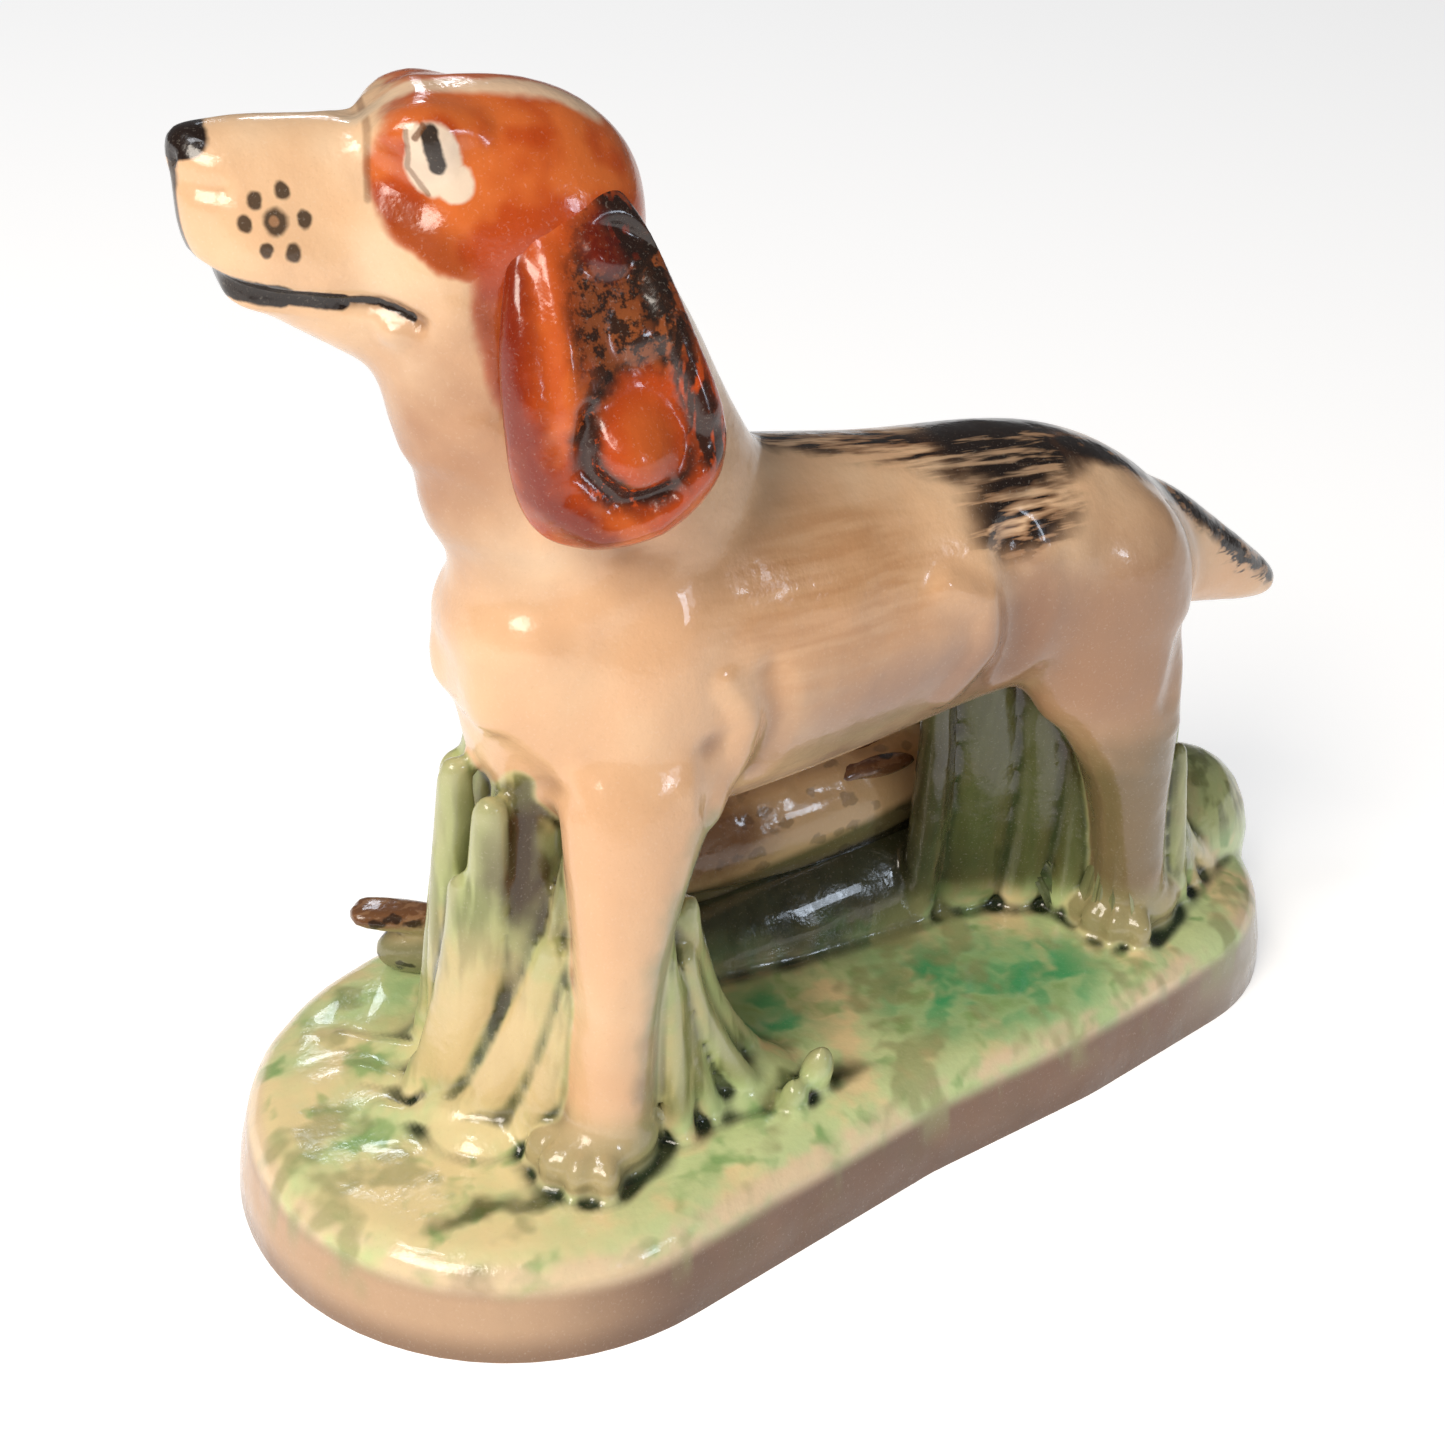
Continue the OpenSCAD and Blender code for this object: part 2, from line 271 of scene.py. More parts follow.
def trunk_forms():
    trunk = pulled("trunk", rings_of([
        (-42.6, 62.5, 6, 5), (-39.5, 61.5, 13.5, 9.5), (-32, 60.5, 19, 12.6), (-20, 60.5, 19.6, 14.2),
        (-8, 60.5, 18.4, 14), (4, 60.2, 16.4, 13.2), (15, 61, 15.2, 12.4), (25, 60.5, 14.3, 12.6),
        (34, 58.5, 12.5, 11.6), (41, 56, 9.3, 8.8), (45, 54, 5.2, 5.2)], lying=True), sides=20, lying=True)
    forms = [trunk]
    for side in (-1, 1):
        forms += [
            lump("shoulder", (-26, 7.6 * side, 60), (8.5, 7.4, 15), (0, 16, 0)),
            lump("upper_arm", (-25.5, 8.6 * side, 51), (7.6, 6.4, 9), (0, -20, 0)),
            lump("haunch", (30, 6.6 * side, 57), (11, 7.6, 13), (0, -12, 0)),
            lump("thigh", (30.5, 7.4 * side, 49), (9.5, 6, 9)),
            lump("breast", (-37.5, 4.2 * side, 60.5), (5.4, 5, 7)),
        ]
    return forms


def head_forms():
    neck = pulled("neck", rings_of([
        (60, -26, 0, 14, 12), (70, -25.2, 0, 17, 12), (78, -27, 0, 17.2, 11), (84, -30, 0, 16.2, 10.2),
        (90, -32.2, 0, 15.6, 9.8), (96, -34, 0, 14.4, 9.4), (102, -35, 0, 11, 8.6)]))
    skull = pulled("skull", rings_of([
        (-23.6, 103.6, 4.4, 4.4), (-26.5, 103, 9, 7.8), (-31, 103, 12, 9.6), (-36, 102.9, 12.9, 10),
        (-41, 103, 12.9, 9.3), (-45, 102.8, 12.4, 7.9), (-48, 102.3, 10.9, 6.7), (-52, 103.4, 9.7, 6),
        (-56, 104.8, 8.6, 5.6), (-59.8, 105.9, 7.2, 5.2), (-62.2, 106.6, 5.4, 4.2), (-63.1, 107, 3.2, 2.6)],
        lying=True), lying=True)
    nose = lump("nose_lump", (-61.2, 0, 110.7), (2.6, 2.9, 2.3))
    forms = [head_turned(skull), head_turned(nose), neck]
    for side in (-1, 1):
        forms += [
            head_turned(lump("brow", (-42.5, 5.2 * side, 112.6), (4.6, 2.6, 2.4))),
            head_turned(lump("cheek", (-40, 6.6 * side, 100.5), (6.5, 3.4, 6))),
            head_turned(lump("lip", (-56.2, 3.2 * side, 101.8), (5.2, 2.9, 4.6), (0, 24, 0))),
        ]
    return forms


def leg_form(name, rows, shift, side):
    placed = [(z, x + shift[0], side * (y + shift[1]), hx, hy) for z, x, y, hx, hy in rows]
    return pulled(name, rings_of(placed), sides=14)


FORELEG = [
    (12, -33.4, 16.2, 5, 4.6), (17, -33.2, 16, 4.7, 4.4), (23, -32.8, 15.6, 4.4, 4.2),
    (29, -32.2, 15.2, 4.4, 4.2), (36, -31.4, 14.6, 5, 4.6), (43, -30, 13.3, 6.6, 5.2),
    (50, -28, 11.5, 8.6, 5.8), (57, -26, 9.4, 9.6, 5.8)]
HINDLEG = [
    (12, 40.2, 7.6, 5, 4.5), (17, 39.6, 7.7, 4.5, 4.2), (23, 38.3, 8, 4.4, 4.2), (29, 37, 8.3, 4.7, 4.4),
    (35, 35.5, 8.6, 5.6, 4.9), (42, 33, 8.5, 7.8, 5.8), (50, 30.8, 7.5, 10, 6.6),
    (58, 29.4, 6.2, 10.6, 6.8)]
FAR_FORE, FAR_HIND = (5, 1), (-4, 1.5)      # how far the far legs stand along X and out from the near ones


def paw_forms(centre, side, spread):
    """A paw's ball and its four toes; spread is how far the toes fan round to the outside."""
    x, y = centre
    forms = [lump("paw", (x + 0.6, y, 13.4), (5.8, 4.7, 4.2))]
    for i in range(4):
        fan = radians(-34 + 30 * i + spread)
        across = side * sin(fan)
        spot = (x - 4.7 * cos(fan), y + 4.3 * across, 13 - 0.2 * abs(i - 1.5))
        forms.append(lump("toe", spot, (2.9, 1.75, 2.75), (0, 8, degrees(-side * fan)), levels=2))
    return forms


def tail_form():
    return pulled("tail", rings_of([
        (34, 59.5, 8.2, 7), (40.5, 58.3, 8.3, 5.6), (46, 56, 7, 4.6), (51, 53.6, 5.4, 3.8),
        (56, 51.2, 4.1, 3.1), (60, 49.3, 2.7, 2.3), (62.2, 48.4, 1.3, 1.2)], lying=True), sides=14,
        lying=True)


BLADE_ROOT = 9         # blades start this high, inside the turf
FULLEST = 0.3          # the share of its height at which a blade is broadest


def blade_form(root, tip, width, thick, facing, bow):
    """A leaf of grass with a spread foot and a blunt tip, its broad side facing the given way about Z."""
    rings = []
    for u in (0, 0.15, 0.35, 0.55, 0.75, 0.9, 1.0):
        swelling = 0.5 * u / FULLEST if u < FULLEST else 0.5 + 0.5 * (u - FULLEST) / (1.24 - FULLEST)
        share = max(0.22 + 0.78 * sin(pi * swelling), 1.05 - 1.1 * u)
        lean = bow * 4 * u * (1 - u)
        x = root[0] + (tip[0] - root[0]) * u + lean
        y = root[1] + (tip[1] - root[1]) * u
        z = BLADE_ROOT + (tip[2] - BLADE_ROOT) * u
        rings.append(((x, y, z), share * width / 2, max(0.35, share) * thick / 2, 0))
    blade = pulled("blade", rings, sides=10, levels=1)
    # each point turns about the midrib at its own height, so the blade doesn't swing about its root
    only(blade)
    bpy.ops.object.transform_apply(location=True, rotation=True, scale=True)
    if facing:
        bottom, top = Vector((root[0], root[1], BLADE_ROOT)), Vector((tip[0], tip[1], tip[2]))
        for vertex in blade.data.vertices:
            u = (vertex.co.z - BLADE_ROOT) / (tip[2] - BLADE_ROOT)
            rib = bottom.lerp(top, u) + Vector((bow * 4 * u * (1 - u), 0, 0))
            off = Matrix.Rotation(radians(facing), 3, "Z") @ (vertex.co - rib)
            vertex.co = rib + off
    return blade


# Every blade: (root x y), (tip x y z), width, thickness, facing, bow
GRASS = {
    "grass_chest": [
        ((-46.2, -1.8), (-41.2, -5.6, 50.5), 7, 6, -35, 2.2),
        ((-47.8, 0.8), (-43.6, -3.2, 40.5), 5.4, 5.2, -35, 2.2),
        ((-42.5, 4), (-42.2, 0.4, 52), 6.4, 5.4, -20, 0.2),
        ((-41.6, -7.4), (-34.6, -10, 46), 3.4, 4, -50, 1.2),
        ((-45, -5), (-35.8, -10, 35), 8.4, 8, -40, 2.4),
        ((-41, -10.4), (-35, -13.4, 31), 7.4, 6.4, -45, 1.8),
        ((-42.5, 9), (-39.5, 7.5, 48), 7, 5, 20, 1),
        ((-37.5, -2.5), (-36, -2.5, 56), 10.5, 13, -20, 0.6),
        ((-37, 6), (-36, 5, 56), 10, 12, 20, 0.6),
    ],
    "grass_foreleg_left": [
        ((-25.6, -17.6), (-27.6, -15.6, 41), 3.6, 3.6, 10, -0.4),
        ((-20.4, -16), (-26, -15.6, 31), 4, 3.8, 14, -1.4),
        ((-13.6, -15), (-24.4, -14.8, 33), 4.2, 4, 22, -2.6),
        ((-10.6, -9.6), (-23.4, -13.6, 38.5), 4.4, 4.2, 30, -3.4),
        ((-18.4, -11.4), (-24.5, -11.4, 37), 12, 8.4, 24, -1.6),
    ],
    "grass_foreleg_right": [
        ((-39, 13.5), (-35.5, 13, 40), 6.5, 5, 20, 1.6),
        ((-33, 22), (-29.6, 17.6, 38), 6.4, 4.4, 5, 0.5),
        ((-24.5, 23), (-24.6, 17.2, 42), 6.4, 4.4, -10, -0.6),
        ((-17, 23), (-22.4, 17, 36), 6.4, 4.4, -24, -2),
    ],
    "grass_flank": [
        ((23.6, 4), (17.6, -1.8, 55), 10.4, 5.4, -14, 2.2),
        ((30.2, 1.2), (23.8, -3.8, 54), 6.8, 4.8, -16, 2.4),
        ((34.6, -2.4), (28.6, -5.2, 52), 5.2, 4.4, -18, 2),
        ((17.2, 4.4), (13, -1, 54), 5, 4.6, -14, 1.2),
        ((28, 7), (24, 4, 48), 14, 8, -6, 0.6),
    ],
    "grass_hind_right": [
        ((25, 18.5), (26, 12.5, 46), 8, 4.8, 12, -1),
        ((31, 20), (30.5, 13, 44), 7, 4.4, 4, 0.4),
        ((45, 15), (39.5, 11.5, 44), 7, 4.8, -22, -1.6),
    ],
    "grass_tail": [
        ((48, -7.4), (43, -8.8, 36), 3.8, 4, -10, -0.6),
        ((53, -5), (43.4, -7.4, 34), 4.6, 4.2, -14, -2.2),
        ((58, -2.6), (45, -5.6, 31), 5.2, 4.4, -18, -3.2),
        ((51, 5), (52, 4.6, 36), 7.4, 5, -10, 0.6),
        ((47, 5), (44, 3, 44), 9, 8, 0, 0),
    ],
}


def bank_forms():
    """The turf's own rises: the bank that the bird lies on and the mound at the back end."""
    bank = pulled("bank", rings_of([
        (-22, 8, 3, 4), (-14, 9.5, 8.6, 8.5), (-4, 10, 11, 9.6), (8, 10, 12.4, 10), (18, 10, 13.6, 10),
        (27, 10, 10, 8), (31, 9, 4, 4)], lying=True), lying=True)
    for vertex in bank.data.vertices:
        vertex.co.y += 12
    return [bank, lump("mound", (54, 5, 9.5), (14, 9.5, 14.5), (0, 28, 0))]


PLINTH = [(-36.5, -1, 30.5), (-2, 1, 26), (22, 2.5, 25), (43, 5.5, 24)]     # its round bosses: x, y, radius
RIM_ROUND = 4.6        # rounding of the rim


def plinth_forms():
    """Round bosses under a rounded rim, each skinned to the next."""
    spans = []
    for first, second in zip(PLINTH[:-1], PLINTH[1:]):
        bosses = []
        for x, y, radius in (first, second):
            rows = [(-4, 0.2), (0, 0), (3.5, 0.4)]
            for a in (0.0, 0.4, 0.8, 1.2, pi / 2):
                rows.append((GROUND - RIM_ROUND + RIM_ROUND * sin(a), 1.1 + RIM_ROUND - RIM_ROUND * cos(a)))
            rings = [((x, y, z), radius - inset, radius - inset, 0) for z, inset in rows]
            boss = pulled("boss", rings, sides=64, levels=0)
            bosses.append(boss)
        span = joined("plinth", bosses)
        only(span)
        bpy.ops.object.mode_set(mode="EDIT")
        bpy.ops.mesh.select_all(action="SELECT")
        bpy.ops.mesh.convex_hull()
        bpy.ops.object.mode_set(mode="OBJECT")
        spans.append(span)
    return spans


class Seams:
    """Remembers which piece each form belongs to, so that the clay can be taken apart at its joints."""

    def __init__(self):
        self.points, self.faces, self.parts, self.names = [], [], [], []

    def add(self, name, forms):
        if name not in self.names:
            self.names.append(name)
        for form in forms:
            only(form)
            bpy.ops.object.transform_apply(location=True, rotation=True, scale=True)
            first = len(self.points)
            self.points += [v.co.copy() for v in form.data.vertices]
            self.faces += [[first + i for i in face.vertices] for face in form.data.polygons]
            self.parts += [self.names.index(name)] * len(form.data.polygons)
        return forms

    def nearest(self, spots):
        tree = BVHTree.FromPolygons(self.points, self.faces)
        return np.array([self.parts[tree.find_nearest(Vector(spot))[2]] for spot in spots])


def array_of(items, attribute, width, kind=float):
    values = np.empty(len(items) * width, dtype=kind)
    items.foreach_get(attribute, values)
    return values.reshape(-1, width) if width > 1 else values


SIDES = ((-1, (0, 0), (0, 0), "left"), (1, FAR_FORE, FAR_HIND, "right"))


def face_of_corner(mesh):
    """The face that each of the mesh's corners belongs to."""
    return np.repeat(np.arange(len(mesh.polygons)), array_of(mesh.polygons, "loop_total", 1, np.int32))


def model_clay():
    """Presses all the forms into one clay: first the dog's body, smoothed well, then the rest onto it."""
    seams = Seams()
    dog = seams.add("torso", trunk_forms()) + seams.add("head", head_forms())
    dog += seams.add("tail", [tail_form()])
    for side, fore_shift, hind_shift, hand in SIDES:
        dog += seams.add("foreleg_" + hand, [leg_form("foreleg", FORELEG, fore_shift, side)])
        dog += seams.add("hindleg_" + hand, [leg_form("hindleg", HINDLEG, hind_shift, side)])
    body = kneaded("body", dog, 0.9, 14)
    rest = []
    for side, fore_shift, hind_shift, hand in SIDES:
        fore = (-34.6 + fore_shift[0], side * (16.6 + fore_shift[1]))
        hind = (40.4 + hind_shift[0], side * (7.6 + hind_shift[1]))
        rest += seams.add("foreleg_" + hand, paw_forms(fore, side, 16))
        rest += seams.add("hindleg_" + hand, paw_forms(hind, side, 10))
    for name, blades in GRASS.items():
        rest += seams.add(name, [blade_form(*blade) for blade in blades])
    rest += seams.add("grass_bud", [
        lump("bud", (-9.6, -17.6, 13.4), (1.9, 1.7, 3.6), (8, 8, 0)),
        lump("bud", (-13.2, -18.8, 12), (1.5, 1.4, 2.6), (0, 14, 0))])
    rest += seams.add("grass_chest", [lump("root", (-42, -4.5, 9.8), (8, 9, 4.4))])
    rest += seams.add("grass_foreleg_left", [lump("root", (-17, -12, 9.8), (8.5, 6.4, 4))])
    rest += seams.add("plinth_shell", bank_forms() + plinth_forms())
    clay = kneaded("clay", [body] + rest, CLAY_VOXEL, 5)
    return clay, seams


# ---- modelling on the clay -------------------------------------------------------------------------


def model_face(work):
    """The stop, eye sockets, lips and mouth, drawn from the side on both sides of the head at once."""
    head = dict(head=True, low=(None, None, 84), high=(-24, None, None))
    side = dict(seen="xz", **head)
    work.swell([(-47.2, 0, 113.4)], -0.9, 3.4, head=True)
    work.swell([(-46.5, 109.4), (-43.5, 108.2)], -0.7, 3.2, **side)
    work.swell([(-42.6, 111.4)], 0.6, 2.9, **side)
    work.swell([(-46.4, 112.6), (-43, 114.4), (-38.6, 113)], 0.5, 1.8, **side)
    work.swell([(-56, 103.8), (-52.5, 101)], 0.8, 4.6, **side)
    mouth = [(-62.6, 101.4), (-58.4, 100), (-54.4, 99.2), (-50, 98.8), (-47.2, 98.9), (-44.3, 97.8)]
    work.swell(mouth, -1, 1.4, **side)
    work.swell([(-46.2, 96.6)], 0.8, 1.9, **side)
    work.swell([(-41.2, 98.2)], 0.5, 3, **side)
    work.swell([(-59.2, 108.4), (-61.6, 108.6)], -0.5, 1.4, **side)
    work.swell([(0, 108.6), (0, 102)], -0.5, 0.9, seen="yz", head=True,
               low=(-70, None, 100), high=(-57, None, 109.6))
    work.swell([(-62.6, 1.6, 110.2)], -0.7, 0.9, head=True)
    work.swell([(-62.6, -1.6, 110.2)], -0.7, 0.9, head=True)


def model_body(work):
    """Folds of the neck, the breast, and the crescents at elbow and flank."""
    side = dict(seen="xz", low=(None, None, 40), high=(None, None, 100))
    work.swell([(-42, 88), (-37, 85), (-32, 80)], 0.6, 3.2, **side)
    work.swell([(-44.5, 82), (-38, 78.5), (-30, 77)], -0.5, 3, **side)
    work.swell([(-42, 73), (-36, 73), (-28, 76)], -0.9, 4.5, **side)
    work.swell([(-43, 66), (-38, 67)], 0.6, 4, **side)
    work.swell([(-41, 56), (-37.5, 52)], -0.8, 3, **side)
    work.swell([(-20.5, 62), (-17.8, 57), (-18.2, 51.5), (-21, 47.5)], 0.75, 2.3, **side)
    work.swell([(-15.6, 62), (-14.4, 56), (-15.6, 50)], -0.8, 2.8, **side)
    work.swell([(-22, 55), (-22.5, 50)], -0.6, 2.8, **side)
    work.swell([(5, 66), (9.6, 63), (10.6, 58), (7, 52.5)], 0.8, 2.6, **side)
    work.swell([(13.6, 68), (15, 61), (14.6, 54)], -1.2, 4, **side)
    work.swell([(2, 70), (-2, 60)], -0.5, 7, **side)
    work.swell([(38, 52), (36, 46)], -0.6, 3, **side)
    work.swell([(38, 40), (37, 36)], 0.5, 3, **side)


def model_turf(work):
    """Uneven turf: shallow dips and rises, a ring trodden round every paw, ridges before the grass."""
    top = dict(seen="xy", low=(None, None, 7), high=(None, None, 16))
    rng = np.random.default_rng(4)
    for _ in range(44):
        x, y, turn = rng.uniform(-62, 60), rng.uniform(-28, 28), rng.uniform(0, pi)
        length = rng.uniform(2, 6)
        along, across = length * cos(turn), length * sin(turn)
        run = [(x - along, y - across), (x + along, y + across)]
        work.swell(run, rng.uniform(-0.35, 0.35), rng.uniform(2.4, 5), **top)
    for x, y, reach in ((-35, -16.6, 9.4), (40.6, -7.6, 8.6), (-30, 17.6, 9.4), (36.6, 9.2, 8.6)):
        work.swell([(x, y)], -0.8, reach, seen="xy", low=(None, None, 7), high=(None, None, 13))
    for y in (-6, 0.5, 7):
        work.swell([(-52, y + 6), (-46, y), (-43, y - 1)], 0.5, 1.6, **top)


def note_glaze(clay, label, seams):
    """Notes on every point how deep it lies in a hollow, for painted shade and darker creases, and how much
    of it is grass.
    """
    mesh = clay.data
    place = array_of(mesh.vertices, "co", 3)
    normal = array_of(mesh.vertex_normals, "vector", 3)
    ends = array_of(mesh.edges, "vertices", 2, np.int32)
    count = np.bincount(ends.ravel(), minlength=len(place)).astype(float)

    def evened(values, rounds):
        for _ in range(rounds):
            total = np.stack([
                np.bincount(ends[:, 0], values[ends[:, 1], k], len(place))
                + np.bincount(ends[:, 1], values[ends[:, 0], k], len(place))
                for k in range(values.shape[1])], 1)
            values = 0.4 * values + 0.6 * total / count[:, None]
        return values

    near = evened(place, 6)
    wide = evened(near, 50)
    fine = np.einsum("ij,ij->i", near - place, normal)
    broad = np.einsum("ij,ij->i", wide - place, normal)
    fine = evened(fine[:, None], 2)[:, 0]
    broad = evened(broad[:, None], 4)[:, 0]
    growing = [k for k, name in enumerate(seams.names) if name.startswith(("grass", "plinth"))]
    corner = array_of(mesh.loops, "vertex_index", 1, np.int32)
    owner = face_of_corner(mesh)
    faces_at = np.bincount(corner, minlength=len(place))
    green = np.bincount(corner, np.isin(label, growing)[owner], len(place)) / faces_at
    green = evened(green[:, None], 8)[:, 0]
    for name, values in (("fine_hollow", fine), ("broad_hollow", broad), ("green", green)):
        mesh.attributes.new(name, "FLOAT", "POINT").data.foreach_set("value", values)


def part_labels(clay, seams):
    """The piece each face belongs to: that of the nearest form, evened out so that joints run smoothly."""
    mesh = clay.data
    centre = array_of(mesh.polygons, "center", 3)
    label = seams.nearest(centre)
    # the neck is cut along one leaning plane
    slope = radians(18)
    above = (centre[:, 2] - 76) * cos(slope) - (centre[:, 0] + 28) * sin(slope) > 0
    above &= centre[:, 0] < 0
    torso, head = seams.names.index("torso"), seams.names.index("head")
    dog = (label == torso) | (label == head)
    label[dog & above] = head
    label[dog & ~above] = torso
    order = np.argsort(array_of(mesh.loops, "edge_index", 1, np.int32), kind="stable")
    pair = face_of_corner(mesh)[order].reshape(-1, 2)          # on a closed skin every edge has two faces
    for _ in range(10):
        votes = np.zeros((len(label), len(seams.names)), dtype=np.float32)
        for part in range(len(seams.names)):
            same = (label == part).astype(float)
            votes[:, part] = same * 1.1
            votes[:, part] += np.bincount(pair[:, 0], same[pair[:, 1]], len(label))
            votes[:, part] += np.bincount(pair[:, 1], same[pair[:, 0]], len(label))
        label = votes.argmax(axis=1)
    return label


def take_apart(clay, label, seams):
    """Cuts the clay at its joints into one closed piece for each part."""
    mesh = clay.data
    for name in seams.names:
        mesh.materials.append(bpy.data.materials.new("part_" + name))
    mesh.polygons.foreach_set("material_index", label.astype(np.int32))
    # the skin's own normals are kept, for the cuts to follow inwards and for the light on the finished skin
    inward = mesh.attributes.new("inward", "FLOAT_VECTOR", "POINT")
    inward.data.foreach_set("vector", -array_of(mesh.vertex_normals, "vector", 3).ravel())
    only(clay)
    bpy.ops.object.mode_set(mode="EDIT")
    bpy.ops.mesh.select_all(action="SELECT")
    bpy.ops.mesh.separate(type="MATERIAL")
    bpy.ops.object.mode_set(mode="OBJECT")
    pieces = {}
    for piece in set(bpy.context.selected_objects) | {clay}:
        name = piece.data.materials[0].name.removeprefix("part_")
        pieces[name] = piece
        piece.name = "skin_" + name
        close_cut(piece)
        piece.data.materials.clear()
    return pieces


def close_cut(piece):
    """Carries the cut edge a little way into the clay, and closes it there."""
    only(piece)
    bpy.ops.object.mode_set(mode="EDIT")
    bpy.context.tool_settings.mesh_select_mode = (False, True, False)
    bpy.ops.mesh.select_all(action="DESELECT")
    bpy.ops.mesh.select_non_manifold(
        extend=False, use_wire=False, use_boundary=True, use_multi_face=False, use_non_contiguous=False,
        use_verts=False)
    bpy.ops.mesh.extrude_edges_move()
    bpy.ops.object.mode_set(mode="OBJECT")
    mesh = piece.data
    chosen = array_of(mesh.vertices, "select", 1, bool)
    place = array_of(mesh.vertices, "co", 3)
    inward = array_of(mesh.attributes["inward"].data, "vector", 3)
    place[chosen] += JOINT_DEPTH * inward[chosen]
    mesh.vertices.foreach_set("co", place.ravel())
    mesh.attributes.new("inside", "BOOLEAN", "POINT").data.foreach_set("value", chosen)
    bpy.ops.object.mode_set(mode="EDIT")
    bpy.ops.mesh.extrude_edges_move()
    bpy.ops.mesh.merge(type="COLLAPSE")
    bpy.ops.mesh.select_all(action="SELECT")
    bpy.ops.mesh.normals_make_consistent(inside=False)
    bpy.context.tool_settings.mesh_select_mode = (True, False, False)
    bpy.ops.object.mode_set(mode="OBJECT")


def keep_skin_light(mesh):
    """Lights the skin as it was before the cut, so that no joint shows through the glaze."""
    skin = array_of(mesh.attributes["inward"].data, "vector", 3) * -1
    skin /= np.maximum(np.linalg.norm(skin, axis=1), 1e-6)[:, None]
    first = array_of(mesh.polygons, "loop_start", 1, np.int32)
    corner = array_of(mesh.loops, "vertex_index", 1, np.int32)
    if (array_of(mesh.polygons, "normal", 3) * skin[corner[first]]).sum() < 0:
        mesh.flip_normals()
        corner = array_of(mesh.loops, "vertex_index", 1, np.int32)
    owner = face_of_corner(mesh)
    flat = array_of(mesh.polygons, "normal", 3)
    centre = array_of(mesh.polygons, "center", 3)
    inside = array_of(mesh.attributes["inside"].data, "value", 1, bool)
    cut = np.zeros(len(mesh.polygons), dtype=bool)
    np.logical_or.at(cut, owner, inside[corner])
    under = (centre[:, 2] < 3.2) & ((flat[:, 2] < -0.5) | ((flat[:, :2] * centre[:, :2]).sum(1) < 0))
    normals = np.where((cut | under)[owner][:, None], flat[owner], skin[corner])
    mesh.polygons.foreach_set("use_smooth", np.ones(len(mesh.polygons), dtype=bool))
    mesh.normals_split_custom_set(normals)
    mesh.attributes.remove(mesh.attributes["inside"])
    mesh.attributes.remove(mesh.attributes["inward"])


def flatten_underside(piece):
    """Cuts the plinth level with the shelf and sinks the rebate that its floor is stuck into."""
    only(piece)
    bpy.ops.object.mode_set(mode="EDIT")
    bpy.ops.mesh.select_all(action="SELECT")
    bpy.ops.mesh.bisect(plane_co=(0, 0, 0), plane_no=(0, 0, 1), clear_inner=True, use_fill=True)
    bpy.ops.object.mode_set(mode="OBJECT")
    mesh = piece.data
    for face in mesh.polygons:
        face.select = face.normal.z < -0.99 and abs(face.center.z) < 0.01
    bpy.ops.object.mode_set(mode="EDIT")
    bpy.context.tool_settings.mesh_select_mode = (False, False, True)
    bpy.ops.mesh.inset(thickness=REBATE_LIP, use_even_offset=True)
    bpy.ops.mesh.extrude_region_move(TRANSFORM_OT_translate={"value": (0, 0, REBATE_DEPTH)})
    bpy.context.tool_settings.mesh_select_mode = (True, False, False)
    bpy.ops.object.mode_set(mode="OBJECT")


# ---- the ears, rolled and pressed on their own -------------------------------------------------------


def model_ear(side, forward):
    """A hanging ear: a thick rolled rim round a hollow, with a lock at its top and a curl at its foot."""
    rows = [
        (109.6, -31.6, 4.8, 2.6, 1.4), (107, -31, 6.6, 5, 2.2), (102, -30.4, 9.2, 7, 2.8),
        (96, -29.8, 11.5, 8.6, 3), (90, -28.4, 12.9, 9.7, 3.1), (85, -28.3, 13.1, 9.4, 3.3),
        (81, -28.9, 12.8, 7.4, 3.3), (78.4, -29.6, 12.4, 4, 2.2)]
    placed = [(z, x + forward, side * y, hx, hy) for z, x, y, hx, hy in rows]
    ear = kneaded("ear", [pulled("ear", rings_of(placed), sides=16)], 0.34, 2)
    work = Sculpting(ear)
    out = (0, side, 0)
    f = forward
    face = dict(seen="xz", way=out, low=(None, side * 8, None) if side > 0 else None,
                high=(None, side * 8, None) if side < 0 else None)
    work.swell([(-27 + f, 103), (-26.6 + f, 97), (-25.4 + f, 91)], -2.1, 6.4, **face)
    work.swell([(-37 + f, 102), (-36.6 + f, 95), (-36 + f, 89), (-34.6 + f, 84), (-30.6 + f, 80.6),
                (-25.4 + f, 81.6),
                (-21.4 + f, 85.6)], 0.9, 2.6, **face)
    work.swell([(-34 + f, 103.6), (-33 + f, 97), (-32.8 + f, 91)], 0.7, 1.9, **face)
    work.swell([(-28.4 + f, 104.4)], 1.9, 3.4, **face)
    work.swell([(-25.4 + f, 104), (-23.4 + f, 98), (-21 + f, 91)], 0.9, 2.2, **face)
    work.swell([(-26.4 + f, 97.4)], 0.9, 3, **face)
    work.swell([(-27 + f, 88.6)], 2.6, 4.6, **face)
    work.swell([(-31.4 + f, 91.6), (-31.8 + f, 87), (-28.6 + f, 83.8), (-24.4 + f, 84.6)], -0.8, 1.5,
               **face)
    work.done(smooth=2)
    return head_turned(ear)


# ---- the game bird -----------------------------------------------------------------------------------


